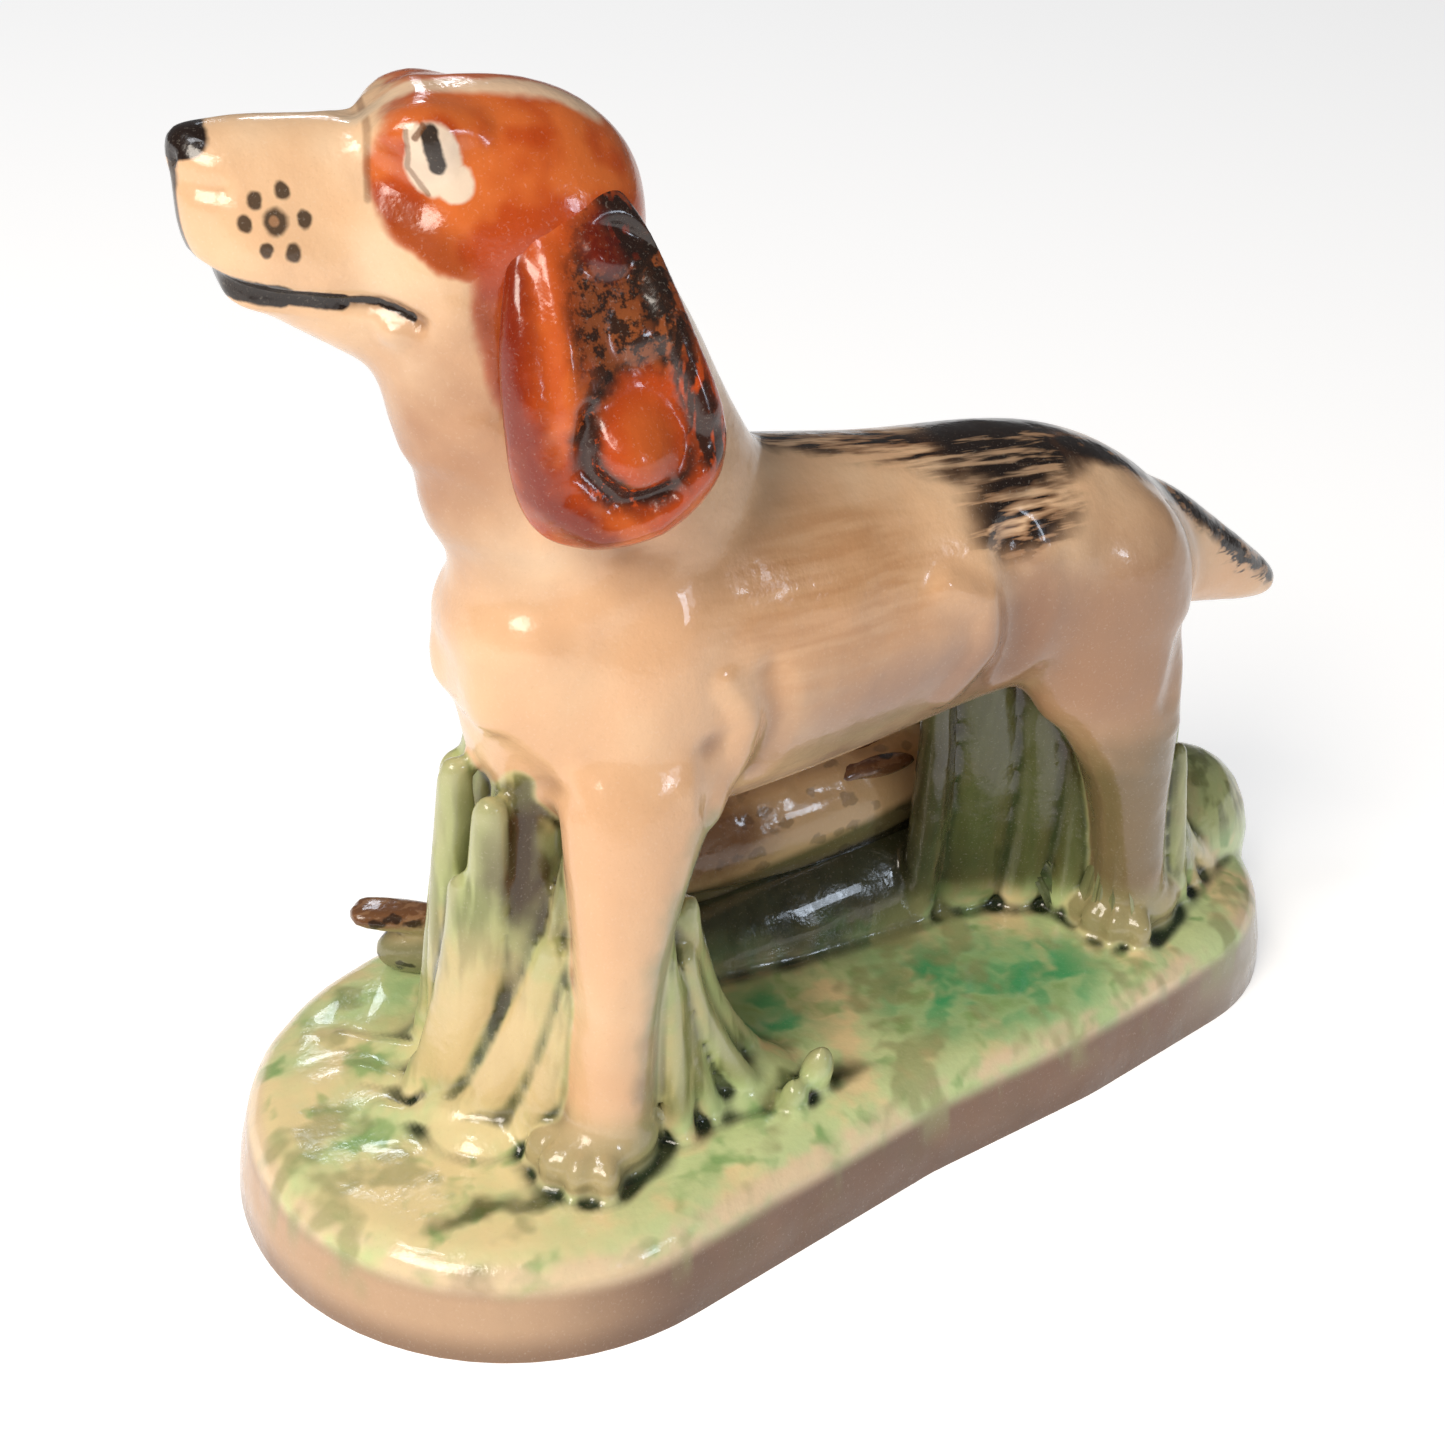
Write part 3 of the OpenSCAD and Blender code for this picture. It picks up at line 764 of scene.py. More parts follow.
def model_bird():
    """A partridge laid along the bank: body with its head tucked, folded wing of quills, spread tail."""
    rows = [(-30, 17.6, 17.6, 2.6, 3), (-26, 17.2, 19.2, 5, 5), (-18, 15.4, 22, 7, 6.8),
            (-8, 14, 23.6, 8, 7.6),
            (3, 13, 24.4, 8, 7.4), (13, 12.8, 25, 7.8, 6.8), (20, 12.8, 25.2, 7, 6), (24, 12.8, 25, 6, 5.2),
            (27.6, 12.8, 24.6, 4, 3.6)]
    body = pulled("bird", [((x, y, z), GROWN * h, GROWN * w, 0) for x, y, z, h, w in rows], sides=16,
                  lying=True)
    beak = lump("beak", (30, 12.8, 23.4), (3, 1.3, 1.4), (0, 18, 0))
    body = kneaded("bird_body", [body, beak, lump("head", (25, 12.6, 25), (5, 4.6, 5))], 0.5, 4)
    work = Sculpting(body)
    for row in range(5):
        for k in range(4):
            x, y = -17 + 7 * row + 3.5 * (k % 2), 9 + 3.2 * k
            work.swell([(x, y), (x + 4, y - 0.2)], 0.35, 1.6, seen="xy", low=(None, None, 20))
    work.swell([(-30, 20.4), (-12, 20), (8, 19.4)], -0.5, 1.2, seen="xz")
    work.done(smooth=1)
    quills = []
    for i in range(7):
        x = 12 - 5.4 * i
        quills.append(lump("quill", (x, 9.2 + 0.5 * i, 30.2 - 0.6 * i), (6.4, 1.9, 1.5), (28, 4, 172),
                           levels=3))
        quills.append(lump("quill", (x - 2, 12.6 + 0.5 * i, 32.2 - 0.66 * i), (6, 2, 1.3), (8, 4, 172),
                           levels=3))
    wing = kneaded("bird_wing", quills, 0.5, 1)
    feathers = []
    for i in range(6):
        turn = 18 - 9 * i
        reach = Vector((-11.5 * cos(radians(turn)), 11.5 * sin(radians(turn)) * 0.35, 0))
        at = Vector((-31, 18.6, 17.6)) + reach * 0.62 + Vector((0, 0.4 * i, 0.5 * (i % 2)))
        feathers.append(lump("feather", at, (9.6, 1.9, 1.3), (12, -10, 160 + 0.4 * turn), levels=3))
    feathers.append(lump("rump", (-31, 18.6, 16.4), (7, 4.6, 4.4), (0, -12, -18)))
    feathers.append(lump("under", (-37.4, 20.4, 14), (7, 3.4, 3.6), (0, -6, -18)))
    tail = kneaded("bird_tail", feathers, 0.5, 1)
    return {"bird_body": body, "bird_wing": wing, "bird_tail": tail}


# ---- glazes: colours are painted in millimetres on the finished figure ---------------------------------


class Wire:
    """A value in a material's nodes, so that washes and strokes are written as plain sums."""

    def __init__(self, paint, socket):
        self.paint, self.socket = paint, socket

    def _math(self, operation, *values, clamp=False):
        return self.paint.node("ShaderNodeMath", dict(operation=operation, use_clamp=clamp), *values)

    def __add__(self, other):
        return self._math("ADD", self, other)

    def __sub__(self, other):
        return self._math("SUBTRACT", self, other)

    def __mul__(self, other):
        return self._math("MULTIPLY", self, other)

    def __rsub__(self, other):
        return self._math("SUBTRACT", other, self)

    __radd__ = __add__
    __rmul__ = __mul__

    def most(self, other):
        return self._math("MAXIMUM", self, other)

    def least(self, other):
        return self._math("MINIMUM", self, other)

    def clamped(self):
        return self._math("ADD", self, 0, clamp=True)

    def fade(self, low, high, start=0.0, end=1.0):
        """Goes smoothly from start to end as the value goes from low to high."""
        if low > high:
            low, high, start, end = high, low, end, start
        return self.paint.node("ShaderNodeMapRange", dict(interpolation_type="SMOOTHSTEP"), self, low,
                               high, start, end)


class Paint:
    """One glazed material: a stack of washes over the bare body, then the clear gloss."""

    def __init__(self, name):
        self.material = bpy.data.materials.new(name)
        self.material.use_nodes = True
        self.tree = self.material.node_tree
        self.shader = self.tree.nodes["Principled BSDF"]
        place = self.node("ShaderNodeTexCoord", {}, output="Object")
        self.place = self.vector("SCALE", place, scale=1 / (MM * FIT))
        self.colour = None

    def node(self, kind, settings=None, *values, output=0, **named):
        made = self.tree.nodes.new(kind)
        for key, value in (settings or {}).items():
            setattr(made, key, value)
        for key, value in list(enumerate(values)) + list(named.items()):
            if isinstance(value, Wire):
                self.tree.links.new(value.socket, made.inputs[key])
            else:
                made.inputs[key].default_value = value
        return Wire(self, made.outputs[output])

    def vector(self, operation, a, *b, output=0, scale=None):
        named = {} if scale is None else {"Scale": scale}
        return self.node("ShaderNodeVectorMath", dict(operation=operation), a, *b, output=output, **named)

    def noise(self, place, scale, detail=2.0, roughness=0.5):
        return self.node("ShaderNodeTexNoise", {}, Vector=place, Scale=scale, Detail=detail,
                         Roughness=roughness)

    def wobbled(self, place, scale, amount):
        """The same place, shaken a little, so that painted edges are drawn by hand."""
        shake = self.node("ShaderNodeTexNoise", {}, Vector=place, Scale=scale, Detail=2.0, output="Color")
        off = self.vector("SCALE", self.vector("SUBTRACT", shake, (0.5, 0.5, 0.5)), scale=2 * amount)
        return self.vector("ADD", place, off)

    def apart(self, place):
        split = self.node("ShaderNodeSeparateXYZ", {}, place)
        outputs = split.socket.node.outputs
        return [Wire(self, outputs[k]) for k in range(3)]

    def note(self, name):
        return self.node("ShaderNodeAttribute", dict(attribute_name=name), output="Fac")

    def dab(self, place, centre, radii, soft=0.25):
        """1 inside an oval about centre, fading out across its edge."""
        away = self.vector("DIVIDE", self.vector("SUBTRACT", place, centre), radii)
        return self.vector("LENGTH", away, output="Value").fade(1 + soft, 1 - soft)

    def stroke(self, place, points, width, soft=0.3):
        """1 along a line through points, width millimetres to each side."""
        nearest = None
        for a, b in zip(points[:-1], points[1:]):
            a, b = Vector(a), Vector(b)
            run = b - a
            off = self.vector("SUBTRACT", place, tuple(a))
            share = self.vector("DOT_PRODUCT", off, tuple(run / run.length_squared),
                                output="Value").clamped()
            on = self.node("ShaderNodeVectorMath", dict(operation="SCALE"), tuple(run), Scale=share)
            away = self.vector("LENGTH", self.vector("SUBTRACT", off, on), output="Value")
            nearest = away if nearest is None else nearest.least(away)
        return nearest.fade(width * (1 + soft), width * (1 - soft))

    def wash(self, colour, amount=1.0):
        """Lays a colour over what is already there."""
        if self.colour is None:
            self.colour = self.node("ShaderNodeMix", dict(data_type="RGBA"), output="Result")
            node = self.colour.socket.node
            self.colour = Wire(self, node.outputs[2])
            node.inputs[0].default_value = 1.0
            node.inputs[7].default_value = (*colour, 1)
            return
        made = self.tree.nodes.new("ShaderNodeMix")
        made.data_type = "RGBA"
        if isinstance(amount, Wire):
            self.tree.links.new(amount.socket, made.inputs[0])
        else:
            made.inputs[0].default_value = amount
        self.tree.links.new(self.colour.socket, made.inputs[6])
        made.inputs[7].default_value = (*colour, 1)
        self.colour = Wire(self, made.outputs[2])

    def glazed(self, roughness=0.16, orange_peel=0.25):
        """Fires a clear gloss over the colours: faint waves in the glaze, and a fine speckle."""
        grain = self.noise(self.place, 3.2, 3.0, 0.6)
        self.wash((0.36, 0.20, 0.10), grain.fade(0.60, 0.74) * 0.10)
        self.wash((1.0, 0.90, 0.76), grain.fade(0.42, 0.30) * 0.08)
        self.tree.links.new(self.colour.socket, self.shader.inputs["Base Color"])
        waves = self.noise(self.place, 0.16, 1.0) * 2.2 + self.noise(self.place, 1.1, 2.0) * orange_peel
        bump = self.node("ShaderNodeBump", {}, Height=waves, Strength=0.28, Distance=MM * FIT)
        self.tree.links.new(bump.socket, self.shader.inputs["Normal"])
        gloss = self.noise(self.place, 0.7).fade(0.3, 0.7, roughness, roughness + 0.1)
        self.tree.links.new(gloss.socket, self.shader.inputs["Roughness"])
        self.shader.inputs["IOR"].default_value = 1.45
        self.shader.inputs["Coat Weight"].default_value = 0.4
        self.shader.inputs["Coat Roughness"].default_value = 0.04
        return self.material


CREAM, PEACH, PALE = (0.86, 0.56, 0.33), (0.78, 0.43, 0.23), (0.92, 0.70, 0.48)
TAN, BROWN, BLACK = (0.46, 0.24, 0.12), (0.17, 0.065, 0.022), (0.018, 0.010, 0.007)
ORANGE, RED, AMBER = (0.50, 0.066, 0.008), (0.17, 0.012, 0.003), (0.72, 0.17, 0.035)
LEAF, OLIVE = (0.68, 0.80, 0.40), (0.15, 0.165, 0.045)
EMERALD, DEEP = (0.06, 0.42, 0.16), (0.018, 0.028, 0.010)


def flat_from_side(paint, place):
    """The place seen from the side: its Y is dropped, so a mark falls on both sides of the dog."""
    return paint.vector("MULTIPLY", place, (1, 0, 1))


def body_washes(paint):
    """What the casting has in common: cream on the dog, green on the turf, darker brown in the creases, and
    painted shade in the broad hollows, on the belly side, the haunches and under the chin.
    """
    x, _, z = paint.apart(paint.place)
    shaken = paint.wobbled(paint.place, 0.22, 2.2)
    fine = paint.note("fine_hollow")
    broad = paint.note("broad_hollow")
    green = paint.note("green")
    cloud = paint.noise(paint.place, 0.055, 3.0)
    paint.wash(CREAM)
    paint.wash(PEACH, cloud.fade(0.42, 0.66) * 0.55)
    paint.wash(PALE, cloud.fade(0.50, 0.30) * 0.6)
    # painted shade on both sides: dark brown on the belly side, the haunch and the flank fold
    for side in (-1, 1):
        paint.wash((0.28, 0.155, 0.115), paint.dab(shaken, (6, 14 * side, 52), (21, 8, 10), 0.6) * 0.8)
        paint.wash((0.24, 0.115, 0.07), paint.dab(shaken, (29, 13 * side, 54), (15, 11, 13), 0.6) * 0.75)
        paint.wash((0.22, 0.10, 0.055), paint.dab(shaken, (16, 11 * side, 60), (3.4, 8, 9), 0.7) * 0.6)
    # painted shadow of the head, on the front of the neck under the chin
    paint.wash((0.36, 0.15, 0.07), paint.dab(shaken, (-43, 0, 86), (6, 10, 13), 0.7) * 0.8)
    # painted shade in the broad hollows; the fine creases go darker brown
    paint.wash((0.36, 0.19, 0.11), broad.fade(0.05, 0.9) * 0.7)
    paint.wash(BROWN, fine.fade(0.02, 0.22) * 0.5)
    # the legs go from tan at the shin to olive at the foot
    for side in (-1, 1):
        paint.wash(TAN, paint.dab(shaken, (31, 9 * side, 50), (13, 7, 16), 0.6) * 0.6)
        shank = z.fade(48, 39) * paint.dab(shaken, (35, 9 * side, 27), (9, 10, 24), 0.45)
        paint.wash((0.15, 0.105, 0.045), shank * 0.9)
        # a pale green-grey painted highlight down the hind leg's rear edge
        edge = z.fade(46, 36) * paint.stroke(shaken,
                                             [(39.4, 8 * side, 46), (42, 8 * side, 32),
                                              (44.4, 8 * side, 14)], 1.8, 0.7)
        paint.wash((0.46, 0.50, 0.34), edge * 0.75)
        rear = paint.stroke(shaken, [(-23.6, 14 * side, 46), (-28, 17.6 * side, 34),
                                     (-29.2, 19 * side, 12)], 3, 0.6)
        paint.wash((0.33, 0.36, 0.22), rear * 0.85)
        paint.wash((0.44, 0.24, 0.15), paint.stroke(shaken, [(-30, 20 * side, 26), (-30.4, 20 * side, 16)],
                                                    1.6, 0.8) * 0.6)
    paint.wash((0.44, 0.40, 0.20), z.fade(20, 14) * 0.8)
    # the turf and its grass
    turf = green.fade(0.22, 0.8)
    reach = paint.noise(paint.place, 0.10, 3.0, 0.6)
    paint.wash((0.94, 0.80, 0.46), turf)
    paint.wash(LEAF, turf * reach.fade(0.28, 0.46))
    paint.wash((0.95, 0.77, 0.42), turf * reach.fade(0.52, 0.38) * 0.9)
    paint.wash((0.95, 0.79, 0.43), turf * paint.dab(shaken, (-52, -8, 11), (18, 24, 12),
                                                    0.7) * reach.fade(0.7, 0.46) * 0.9)
    blade = paint.vector("MULTIPLY", paint.place, (1, 1, 0.18))
    streak = paint.noise(blade, 0.42, 2.0)
    tall = turf * z.fade(12.5, 17)
    shaded_reeds = paint.dab(shaken, (25, 0, 32), (22, 16, 26), 0.5)
    paint.wash((0.36, 0.36, 0.12), tall * 0.6)
    paint.wash(OLIVE, tall * streak.fade(0.44, 0.62) * 0.7)
    # painted shade: the tall grass under the belly goes nearly black
    paint.wash((0.075, 0.075, 0.022), tall * shaded_reeds * 0.92)
    paint.wash(DEEP, tall * fine.fade(0.0, 0.14) * 0.85)
    # painted shade in the broad hollows high in the tall grass
    paint.wash((0.05, 0.022, 0.006), tall * broad.fade(0.1, 1.1) * z.fade(16, 26) * 0.95)
    paint.wash((0.05, 0.022, 0.006), tall * paint.dab(shaken, (-38.6, -7.4, 43), (3.4, 4, 8), 0.4) * 0.95)
    # painted shade deep under the belly, between the blades there
    paint.wash((0.03, 0.02, 0.006), tall * paint.dab(shaken, (15.6, 1, 34), (2.6, 5, 15), 0.5) * 0.9)
    # painted shade under the belly: the bank and the grass about it go nearly black over their green
    paint.wash((0.035, 0.036, 0.018), turf * paint.dab(shaken, (5, 9, 19), (25, 10, 7.5), 0.35) * 0.92)
    # painted highlight on the ridges of the tall grass, fainter where the grass lies in painted shade
    paint.wash((0.50, 0.50, 0.26), tall * fine.fade(-0.02, -0.15) * (0.85 - 0.75 * shaded_reeds))
    skirt = paint.dab(shaken, (-42, -7, 18), (10, 10, 13), 0.5)
    paint.wash((0.82, 0.62, 0.33), tall * (1 - shaded_reeds) * skirt * fine.fade(0.12, 0.0) * 0.9)
    ground = turf * (1 - z.fade(12.5, 17))
    dash = paint.noise(shaken, 0.19, 2.0)
    paint.wash((0.20, 0.42, 0.13), ground * dash.fade(0.52, 0.70) * 0.75 * z.fade(6.5, 9))
    # painted shade under the belly: the turf round the bank goes nearly black over its green
    paint.wash((0.035, 0.04, 0.02), ground * paint.dab(shaken, (6, 9, 17), (26, 10, 8), 0.4) * 0.9)
    for spot, size, soft in (((13, -9, 11), (8.5, 8.5, 6), 0.7), ((24, -12, 11), (8, 7, 6), 0.7),
                             ((-16, 15, 11), (26, 9, 8), 0.7), ((-8, -5, 11), (5.5, 5, 6), 0.6),
                             ((52, 17, 10), (9, 7, 6), 0.7)):
        paint.wash(EMERALD, ground * paint.dab(shaken, spot, size, soft) * dash.fade(0.72, 0.40) * 0.95)
    for spot, size in (((-48.6, -18.4, 11), (4.6, 1.5, 3)), ((-42.5, -19.6, 11), (3.6, 1.3, 3)),
                       ((-52.8, -25, 8), (2.6, 1.4, 3)), ((-9, -17, 11), (6, 1.6, 4)),
                       ((-30, 27, 9), (6, 1.5, 3)), ((8, 26, 9), (5, 1.5, 3)), ((40, 28, 9), (5, 1.6, 3))):
        paint.wash((0.045, 0.06, 0.008), ground * paint.dab(shaken, spot, size, 0.6) * 0.85)
    paint.wash(DEEP, ground * fine.fade(0.03, 0.16))
    # painted shade in the broad hollows of the ground at the foot of the grass, legs and bank
    paint.wash(DEEP, ground * broad.fade(0.8, 2.0) * z.fade(8.5, 10.5) * 0.85)
    paint.wash(BROWN, ground * paint.dab(shaken, (57, 6, 19), (10, 7, 5), 0.4) * 0.85)
    paint.wash(PALE, ground * z.fade(10.6, 9.6) * reach.fade(0.62, 0.44) * 0.75)
    # painted shade on the side wall: dark brown all along and darker still towards the bottom, with painted
    # light on its left end where the key lamp falls; a mottled tone, and paler at the right end
    wall = ground * z.fade(8.8, 6.4)
    paint.wash((0.15, 0.066, 0.034), wall * 0.96)
    paint.wash((0.26, 0.13, 0.075), wall * cloud.fade(0.44, 0.60) * 0.5)
    paint.wash((0.68, 0.44, 0.26), wall * x.fade(-30, -52) * 0.8)
    paint.wash((0.42, 0.38, 0.28), wall * x.fade(36, 54) * 0.7)
    paint.wash((0.13, 0.06, 0.028), wall * z.fade(4.4, 0.2) * 0.7)
    drip = paint.noise(paint.vector("MULTIPLY", paint.place, (1, 1, 0.3)), 0.16, 2.0)
    paint.wash((0.33, 0.34, 0.15), ground * z.fade(3, 7.5) * drip.fade(0.54, 0.66) * 0.6)
    # a dark green ring on the turf round every paw
    for paw_x, paw_y, width in ((-35, -16.6, 7.6), (40.6, -7.6, 7), (-30, 17.6, 7.6), (36.6, 9.2, 7)):
        ring = paint.dab(shaken, (paw_x, paw_y, 11), (width, width * 0.8, 4), 0.22)
        paint.wash((0.03, 0.05, 0.02), ground * ring * 0.8)


def back_strokes(paint):
    """The saddle: long dry strokes of dark brown along the back, thickest on the loins and the tail."""
    combed = paint.vector("MULTIPLY", paint.place, (0.10, 1.0, 1.0))
    hair = paint.noise(combed, 0.62, 3.0, 0.6)
    tan_hair = paint.noise(combed, 0.8, 2.0)
    patch = paint.dab(paint.wobbled(paint.place, 0.2, 2), (-8, -11.5, 67.5), (13, 6.5, 10.5), 0.5)
    far_patch = paint.dab(paint.place, (-8, 11.5, 67.5), (13, 6.5, 10.5), 0.5)
    paint.wash((0.56, 0.27, 0.11), patch.most(far_patch) * tan_hair.fade(0.25, 0.7, 0.4, 0.8))
    shaken = paint.wobbled(paint.place, 0.35, 1.2)
    thin = paint.stroke(shaken, [(-9, 1.5, 80), (2, -1, 78), (12, -4, 76)], 3.4, 0.5)
    saddle = paint.dab(shaken, (18, -1, 74.8), (10.5, 8.6, 4.6), 0.28)
    brush = paint.dab(shaken, (15.6, -8.6, 70.8), (6.4, 5.4, 4.4), 0.45)
    tail = paint.stroke(shaken, [(26, -3.2, 74), (33, -3.5, 71.6), (42, -2.6, 65.4), (50, -2, 59.6),
                                 (61, -1.2, 52)], 2.5, 0.4)
    tuft = paint.stroke(shaken, [(50, -3, 56.4), (60, -2.4, 50.6)], 1.7, 0.4)
    paint.wash(BROWN, (thin.most(brush) * hair.fade(0.40, 0.52)).clamped() * 0.75)
    paint.wash(BLACK, thin * hair.fade(0.50, 0.58))
    paint.wash(BROWN, saddle * 0.55)
    paint.wash(BLACK, saddle * hair.fade(0.34, 0.46))
    paint.wash(BLACK, brush * hair.fade(0.50, 0.56))
    paint.wash(BROWN, tail * 0.7)
    paint.wash(BLACK, tail * hair.fade(0.40, 0.50))
    paint.wash(BLACK, tuft * hair.fade(0.47, 0.55))


def head_place(paint):
    return paint.node("ShaderNodeVectorRotate", dict(rotation_type="Z_AXIS"), Vector=paint.place,
                      Center=tuple(NECK_PIVOT), Angle=HEAD_TURN)


def face_mask(paint, head):
    """The orange-red mask round the eyes, with a pale blaze along the skull."""
    shaken = paint.wobbled(head, 0.3, 0.9)
    side = flat_from_side(paint, shaken)
    mask = paint.dab(side, (-39.6, 0, 109.2), (7.9, 1, 7.2), 0.07)
    mask = mask.most(paint.dab(side, (-30.6, 0, 101), (9.2, 1, 15.5), 0.09))
    mask = mask.most(paint.dab(side, (-31, 0, 109), (10, 1, 9), 0.07))
    tone = paint.noise(head, 0.14, 2.0)
    paint.wash(ORANGE, mask)
    paint.wash(AMBER, mask * tone.fade(0.40, 0.56) * 0.85)
    paint.wash(RED, mask * paint.stroke(side, [(-45.2, 0, 106.2), (-41.4, 0, 101.4), (-38.8, 0, 96),
                                               (-37.4, 0, 88)], 2.2, 0.8) * 0.55)
    paint.wash(BROWN, paint.stroke(flat_from_side(paint, head), [(-47.3, 0, 113.4), (-47.7, 0, 107.6)],
                                   0.28, 0.6) * 0.5)
    top = paint.vector("MULTIPLY", shaken, (1, 1, 0))
    blaze = paint.stroke(top, [(-48, -1.2, 0), (-38, -1.8, 0), (-29, -1.4, 0)], 1.3,
                         0.5) * paint.apart(head)[2].fade(109, 111)
    paint.wash(PALE, blaze * 0.85)


def face_marks(paint, head):
    """Eyes, nose, lips and whisker spots, each laid on with a small brush."""
    side = flat_from_side(paint, head)
    shaken = flat_from_side(paint, paint.wobbled(head, 0.9, 0.22))
    paint.wash(AMBER, paint.dab(side, (-38.2, 0, 109.8), (2.2, 1, 1.6), 0.5) * 0.6)
    white = paint.dab(shaken, (-42.5, 0, 111), (2.25, 1, 3.0), 0.10)
    white = white.most(paint.dab(shaken, (-41, 0, 109.2), (1.7, 1, 1.5), 0.15))
    white = white.most(paint.dab(shaken, (-43.9, 0, 112.9), (0.9, 1, 1.1), 0.2))
    paint.wash((0.86, 0.68, 0.52), white)
    paint.wash(BROWN, paint.stroke(shaken, [(-44.6, 0, 113.4), (-44.4, 0, 110.2), (-43, 0, 108.2)], 0.22,
                                   0.5) * 0.6)
    paint.wash(BLACK, paint.stroke(shaken, [(-42.75, 0, 113.2), (-42.5, 0, 111.9), (-42.2, 0, 110.6)],
                                   0.72, 0.22) * 0.97)
    paint.wash(BROWN, paint.stroke(shaken, [(-43.9, 0, 112.8), (-43.3, 0, 113.7)], 0.25, 0.4) * 0.8)
    paint.wash(BLACK, paint.dab(paint.wobbled(head, 0.6, 0.3), (-61.7, 0, 111.4), (2.7, 3.8, 1.75), 0.08))
    front = paint.vector("MULTIPLY", head, (0, 1, 1))
    ahead = paint.apart(head)[0].fade(-58.4, -59.4)
    paint.wash(BLACK, paint.stroke(front, [(0, -1.4, 111), (0, -1.8, 106), (0, -1.8, 101.6)], 0.75,
                                   0.4) * ahead * 0.95)
    spots = [(-55.1, 106, 0.95), (-56.6, 107.6, 0.6), (-54.4, 108.3, 0.62), (-52.8, 106.1, 0.62),
             (-53.9, 103.6, 0.66),
             (-56, 103.9, 0.55), (-57.5, 105.9, 0.6)]
    for x, z, r in spots:
        paint.wash(BLACK, paint.dab(shaken, (x, 0, z), (r, 1, 1.15 * r), 0.25) * 0.9)
    paint.wash(TAN, paint.dab(shaken, (-55.2, 0, 106.1), (0.42, 1, 0.42), 0.3) * 0.7)
    lip = paint.stroke(shaken, [(-62.8, 0, 101.6), (-59.6, 0, 100.6)], 0.95, 0.16)
    lip = lip.most(paint.stroke(shaken, [(-59.6, 0, 100.4), (-55, 0, 99.6)], 1.2, 0.14))
    lip = lip.most(paint.stroke(shaken, [(-55, 0, 99.5), (-50.4, 0, 99)], 0.9, 0.16))
    lip = lip.most(paint.stroke(shaken, [(-50.4, 0, 99.1), (-47.2, 0, 99), (-44.6, 0, 98)], 0.36, 0.3))
    paint.wash(BLACK, lip)


def ear_marks(paint, head, forward=0.0):
    """The ear: red front, orange rolled rim, and dark brown sponged into the hollow behind it."""
    shaken = flat_from_side(paint, paint.wobbled(head, 0.5, 0.8))
    tone = paint.noise(head, 0.2, 2.0)
    f = forward
    paint.wash(ORANGE)
    paint.wash(AMBER, tone.fade(0.5, 0.66) * 0.5)
    rim = paint.stroke(shaken, [(-34 + f, 0, 106), (-34 + f, 0, 97), (-33.6 + f, 0, 90)], 1.3, 0.8)
    paint.wash(RED, paint.stroke(shaken, [(-37.4 + f, 0, 103), (-37.8 + f, 0, 93), (-35.6 + f, 0, 84.4),
                                          (-30.4 + f, 0, 80)], 1.7, 0.8) * 0.85)
    paint.wash(AMBER, rim * 0.3)
    sponge = paint.noise(head, 0.75, 3.0, 0.7)
    hollow = paint.dab(shaken, (-27.4 + f, 0, 99.8), (5, 1, 8.6), 0.3)
    paint.wash(BROWN, hollow * 0.75)
    paint.wash(BLACK, hollow * sponge.fade(0.44, 0.56) * 0.92)
    paint.wash(RED, paint.dab(shaken, (-28.4 + f, 0, 104.6), (2.6, 1, 3), 0.4) * 0.8)
    ring = paint.dab(shaken, (-27.2 + f, 0, 89), (5.6, 1, 6), 0.16)
    ring = ring - paint.dab(shaken, (-26.2 + f, 0, 90.2), (4, 1, 4.4), 0.2)
    paint.wash(BLACK, ring.clamped() * sponge.fade(0.32, 0.44) * 0.95)
    paint.wash(ORANGE, paint.dab(shaken, (-26.2 + f, 0, 90.2), (3.9, 1, 4.2), 0.25))
    paint.wash(AMBER, paint.dab(shaken, (-26.4 + f, 0, 89.6), (2.2, 1, 2.4), 0.6) * 0.5)
    edge = paint.stroke(shaken, [(-28 + f, 0, 108.4), (-24.8 + f, 0, 101), (-22.6 + f, 0, 94),
                                 (-20.4 + f, 0, 88)], 1.7, 0.5)
    hair = paint.noise(paint.vector("MULTIPLY", head, (1, 1, 0.3)), 0.8, 2.0)
    paint.wash(BLACK, edge * hair.fade(0.40, 0.50) * 0.95)


def dog_glaze(name, part):
    paint = Paint(name)
    body_washes(paint)
    if part in ("torso", "tail"):
        back_strokes(paint)
    if part == "head":
        head = head_place(paint)
        face_mask(paint, head)
        face_marks(paint, head)
    return paint.glazed()


def ear_glaze(name, forward):
    paint = Paint(name)
    ear_marks(paint, head_place(paint), forward)
    return paint.glazed()


def bird_glaze(name, part):
    paint = Paint(name)
    x, _, z = paint.apart(paint.place)
    shaken = paint.wobbled(paint.place, 0.5, 1.0)
    paint.wash((0.70, 0.46, 0.24))
    height = z - x * 0.18
    paint.wash((0.13, 0.105, 0.045), height.fade(24.2, 22.6) * 0.95)
    paint.wash(BROWN, paint.dab(shaken, (-9, 8, 27), (7, 6, 5), 0.5) * 0.85)
    # painted shade in the groove where the bird lies on the bank: the body goes nearly black along its
    # underside
    if part == "bird_body":
        paint.wash((0.012, 0.010, 0.006), height.fade(20.9, 19.9) * 0.9)
    if part != "bird_body":
        paint.wash((0.40, 0.40, 0.22), 0.55)
        paint.wash((0.16, 0.05, 0.018), z.fade(17.6, 19.4) * 0.9)
        barred = paint.noise(paint.vector("MULTIPLY", shaken, (0.3, 1, 1)), 0.9)
        paint.wash((0.35, 0.19, 0.10), z.fade(17.6, 19.4) * barred.fade(0.5, 0.6) * 0.7)
    fleck = paint.node("ShaderNodeTexVoronoi", {}, Vector=paint.vector("MULTIPLY", shaken, (0.6, 1, 1)),
                       Scale=0.42)
    paint.wash(BLACK, fleck.fade(0.34, 0.22) * (0.85 if part != "bird_body" else 0.35))
    return paint.glazed()


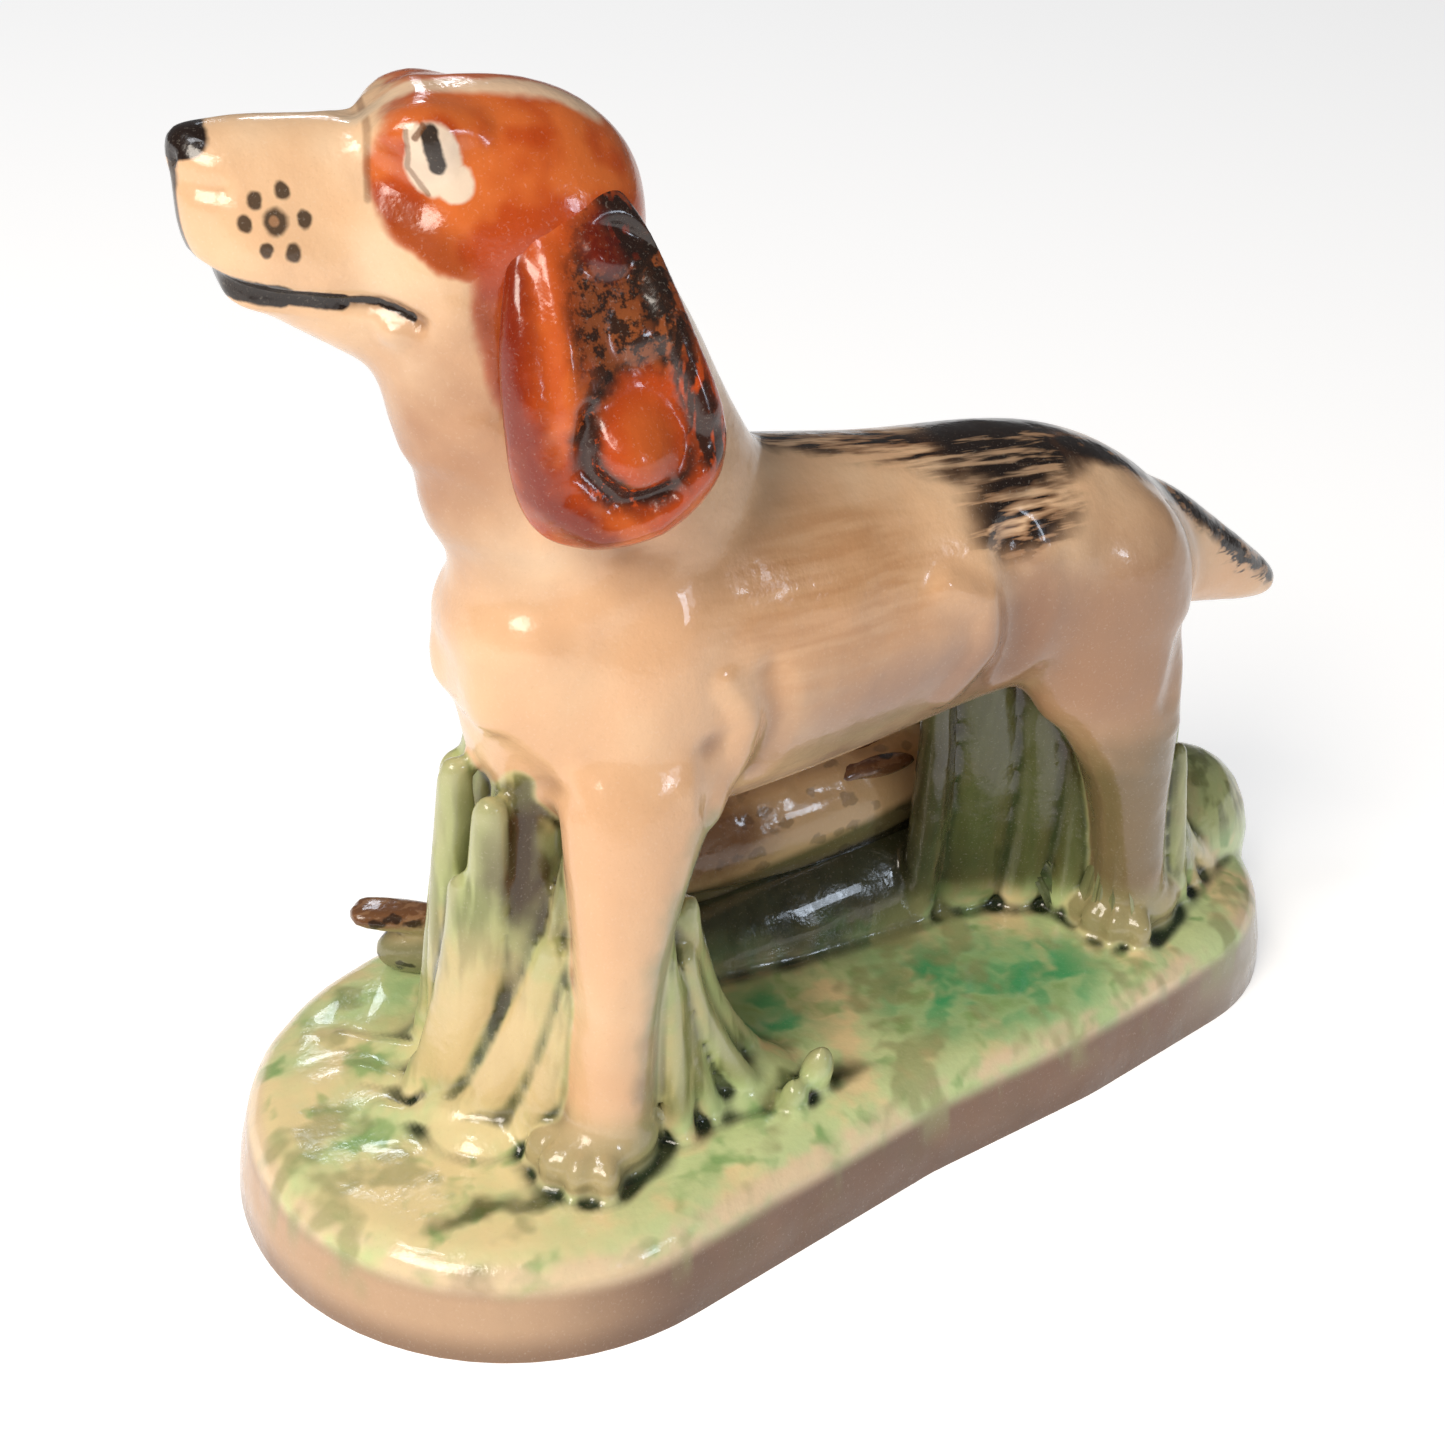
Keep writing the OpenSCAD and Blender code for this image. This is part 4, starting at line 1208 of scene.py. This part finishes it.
def bisque(name):
    """Bare fired clay, faintly sanded, for the underside."""
    paint = Paint(name)
    grain = paint.noise(paint.place, 2.4, 4.0, 0.7)
    paint.wash((0.72, 0.58, 0.42))
    paint.wash((0.55, 0.41, 0.27), grain.fade(0.5, 0.7) * 0.5)
    paint.wash((0.80, 0.68, 0.54), paint.noise(paint.place, 0.2).fade(0.5, 0.7) * 0.5)
    paint.tree.links.new(paint.colour.socket, paint.shader.inputs["Base Color"])
    paint.shader.inputs["Roughness"].default_value = 0.8
    bump = paint.node("ShaderNodeBump", {}, Height=grain, Strength=0.4, Distance=0.3 * MM * FIT)
    paint.tree.links.new(bump.socket, paint.shader.inputs["Normal"])
    return paint.material


# ---- building it all ---------------------------------------------------------------------------------

add_camera()
clay, seams = model_clay()
work = Sculpting(clay)
model_face(work)
model_body(work)
model_turf(work)
work.done(smooth=1)
label = part_labels(clay, seams)
note_glaze(clay, label, seams)
pieces = take_apart(clay, label, seams)
flatten_underside(pieces["plinth_shell"])
for skin in pieces.values():
    keep_skin_light(skin.data)
pieces["ear_left"] = model_ear(-1, 0)
pieces["ear_right"] = model_ear(1, -2.5)
pieces.update(model_bird())

for name, piece in pieces.items():
    only(piece)
    bpy.ops.object.transform_apply(location=True, rotation=True, scale=True)
    piece.scale = [MM * FIT] * 3
    bpy.ops.object.transform_apply(location=True, rotation=True, scale=True)
    bpy.ops.object.shade_smooth()
    piece.name = "skin_" + name
    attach(piece, "root")
    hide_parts(name)


def add_area(name, place, aim, size, watts, colour):
    """A soft box aimed at a point, in metres."""
    bpy.ops.object.light_add(type="AREA", location=place)
    lamp = bpy.context.object
    lamp.name = name
    lamp.data.shape = "RECTANGLE"
    lamp.data.size, lamp.data.size_y = size
    lamp.data.energy = watts
    lamp.data.color = colour
    lamp.rotation_mode = "QUATERNION"
    lamp.rotation_quaternion = (Vector(place) - Vector(aim)).to_track_quat("Z", "Y")
    return lamp


def light_stage():
    bpy.ops.mesh.primitive_plane_add(size=8, location=(0, 0, 0))
    floor = bpy.context.object
    floor.name = "floor"
    white = bpy.data.materials.new("paper")
    white.use_nodes = True
    shader = white.node_tree.nodes["Principled BSDF"]
    shader.inputs["Base Color"].default_value = (0.80, 0.80, 0.805, 1)
    shader.inputs["Roughness"].default_value = 0.9
    shader.inputs["Specular IOR Level"].default_value = 0.1
    shader.inputs["Emission Color"].default_value = (1, 1, 1, 1)
    shader.inputs["Emission Strength"].default_value = 0.62
    floor.data.materials.append(white)
    add_area("window_left", (-0.50, -0.24, 0.54), (0, 0, 0.06), (0.32, 0.32), 4.1, (1.0, 0.91, 0.80))
    add_area("window_right", (0.35, -0.88, 0.36), (0, 0, 0.06), (0.11, 0.15), 0.9, (0.74, 0.85, 1.0))
    add_area("window_above", (-0.42, 0.02, 0.88), (0, 0, 0.05), (0.12, 0.16), 0.8, (0.94, 0.96, 1.0))
    add_area("window_behind", (0.20, 0.80, 0.62), (0, 0, 0.05), (0.13, 0.08), 0.5, (0.82, 0.90, 1.0))
    world = bpy.data.worlds.new("studio")
    bpy.context.scene.world = world
    world.use_nodes = True
    world.node_tree.nodes["Background"].inputs["Color"].default_value = (0.95, 0.97, 1.0, 1)
    world.node_tree.nodes["Background"].inputs["Strength"].default_value = 0.10
    bpy.context.scene.view_settings.view_transform = "Standard"


common = dog_glaze("painted_glaze", None)
glazes = {
    "torso": dog_glaze("body_glaze", "torso"), "head": dog_glaze("head_glaze", "head"),
    "tail": dog_glaze("tail_glaze", "tail"),
    "ear_left": ear_glaze("left_ear_glaze", 0.0), "ear_right": ear_glaze("right_ear_glaze", -2.5),
    "bird_body": bird_glaze("bird_glaze", "bird_body"), "bird_wing": bird_glaze("wing_glaze", "bird_wing"),
    "bird_tail": bird_glaze("bird_tail_glaze", "bird_tail"),
}
for name, piece in pieces.items():
    piece.data.materials.clear()
    piece.data.materials.append(glazes.get(name, common))
floor_slab = bpy.data.objects["plinth_floor"]
floor_slab.data.materials.clear()
floor_slab.data.materials.append(bisque("bare_clay"))
light_stage()
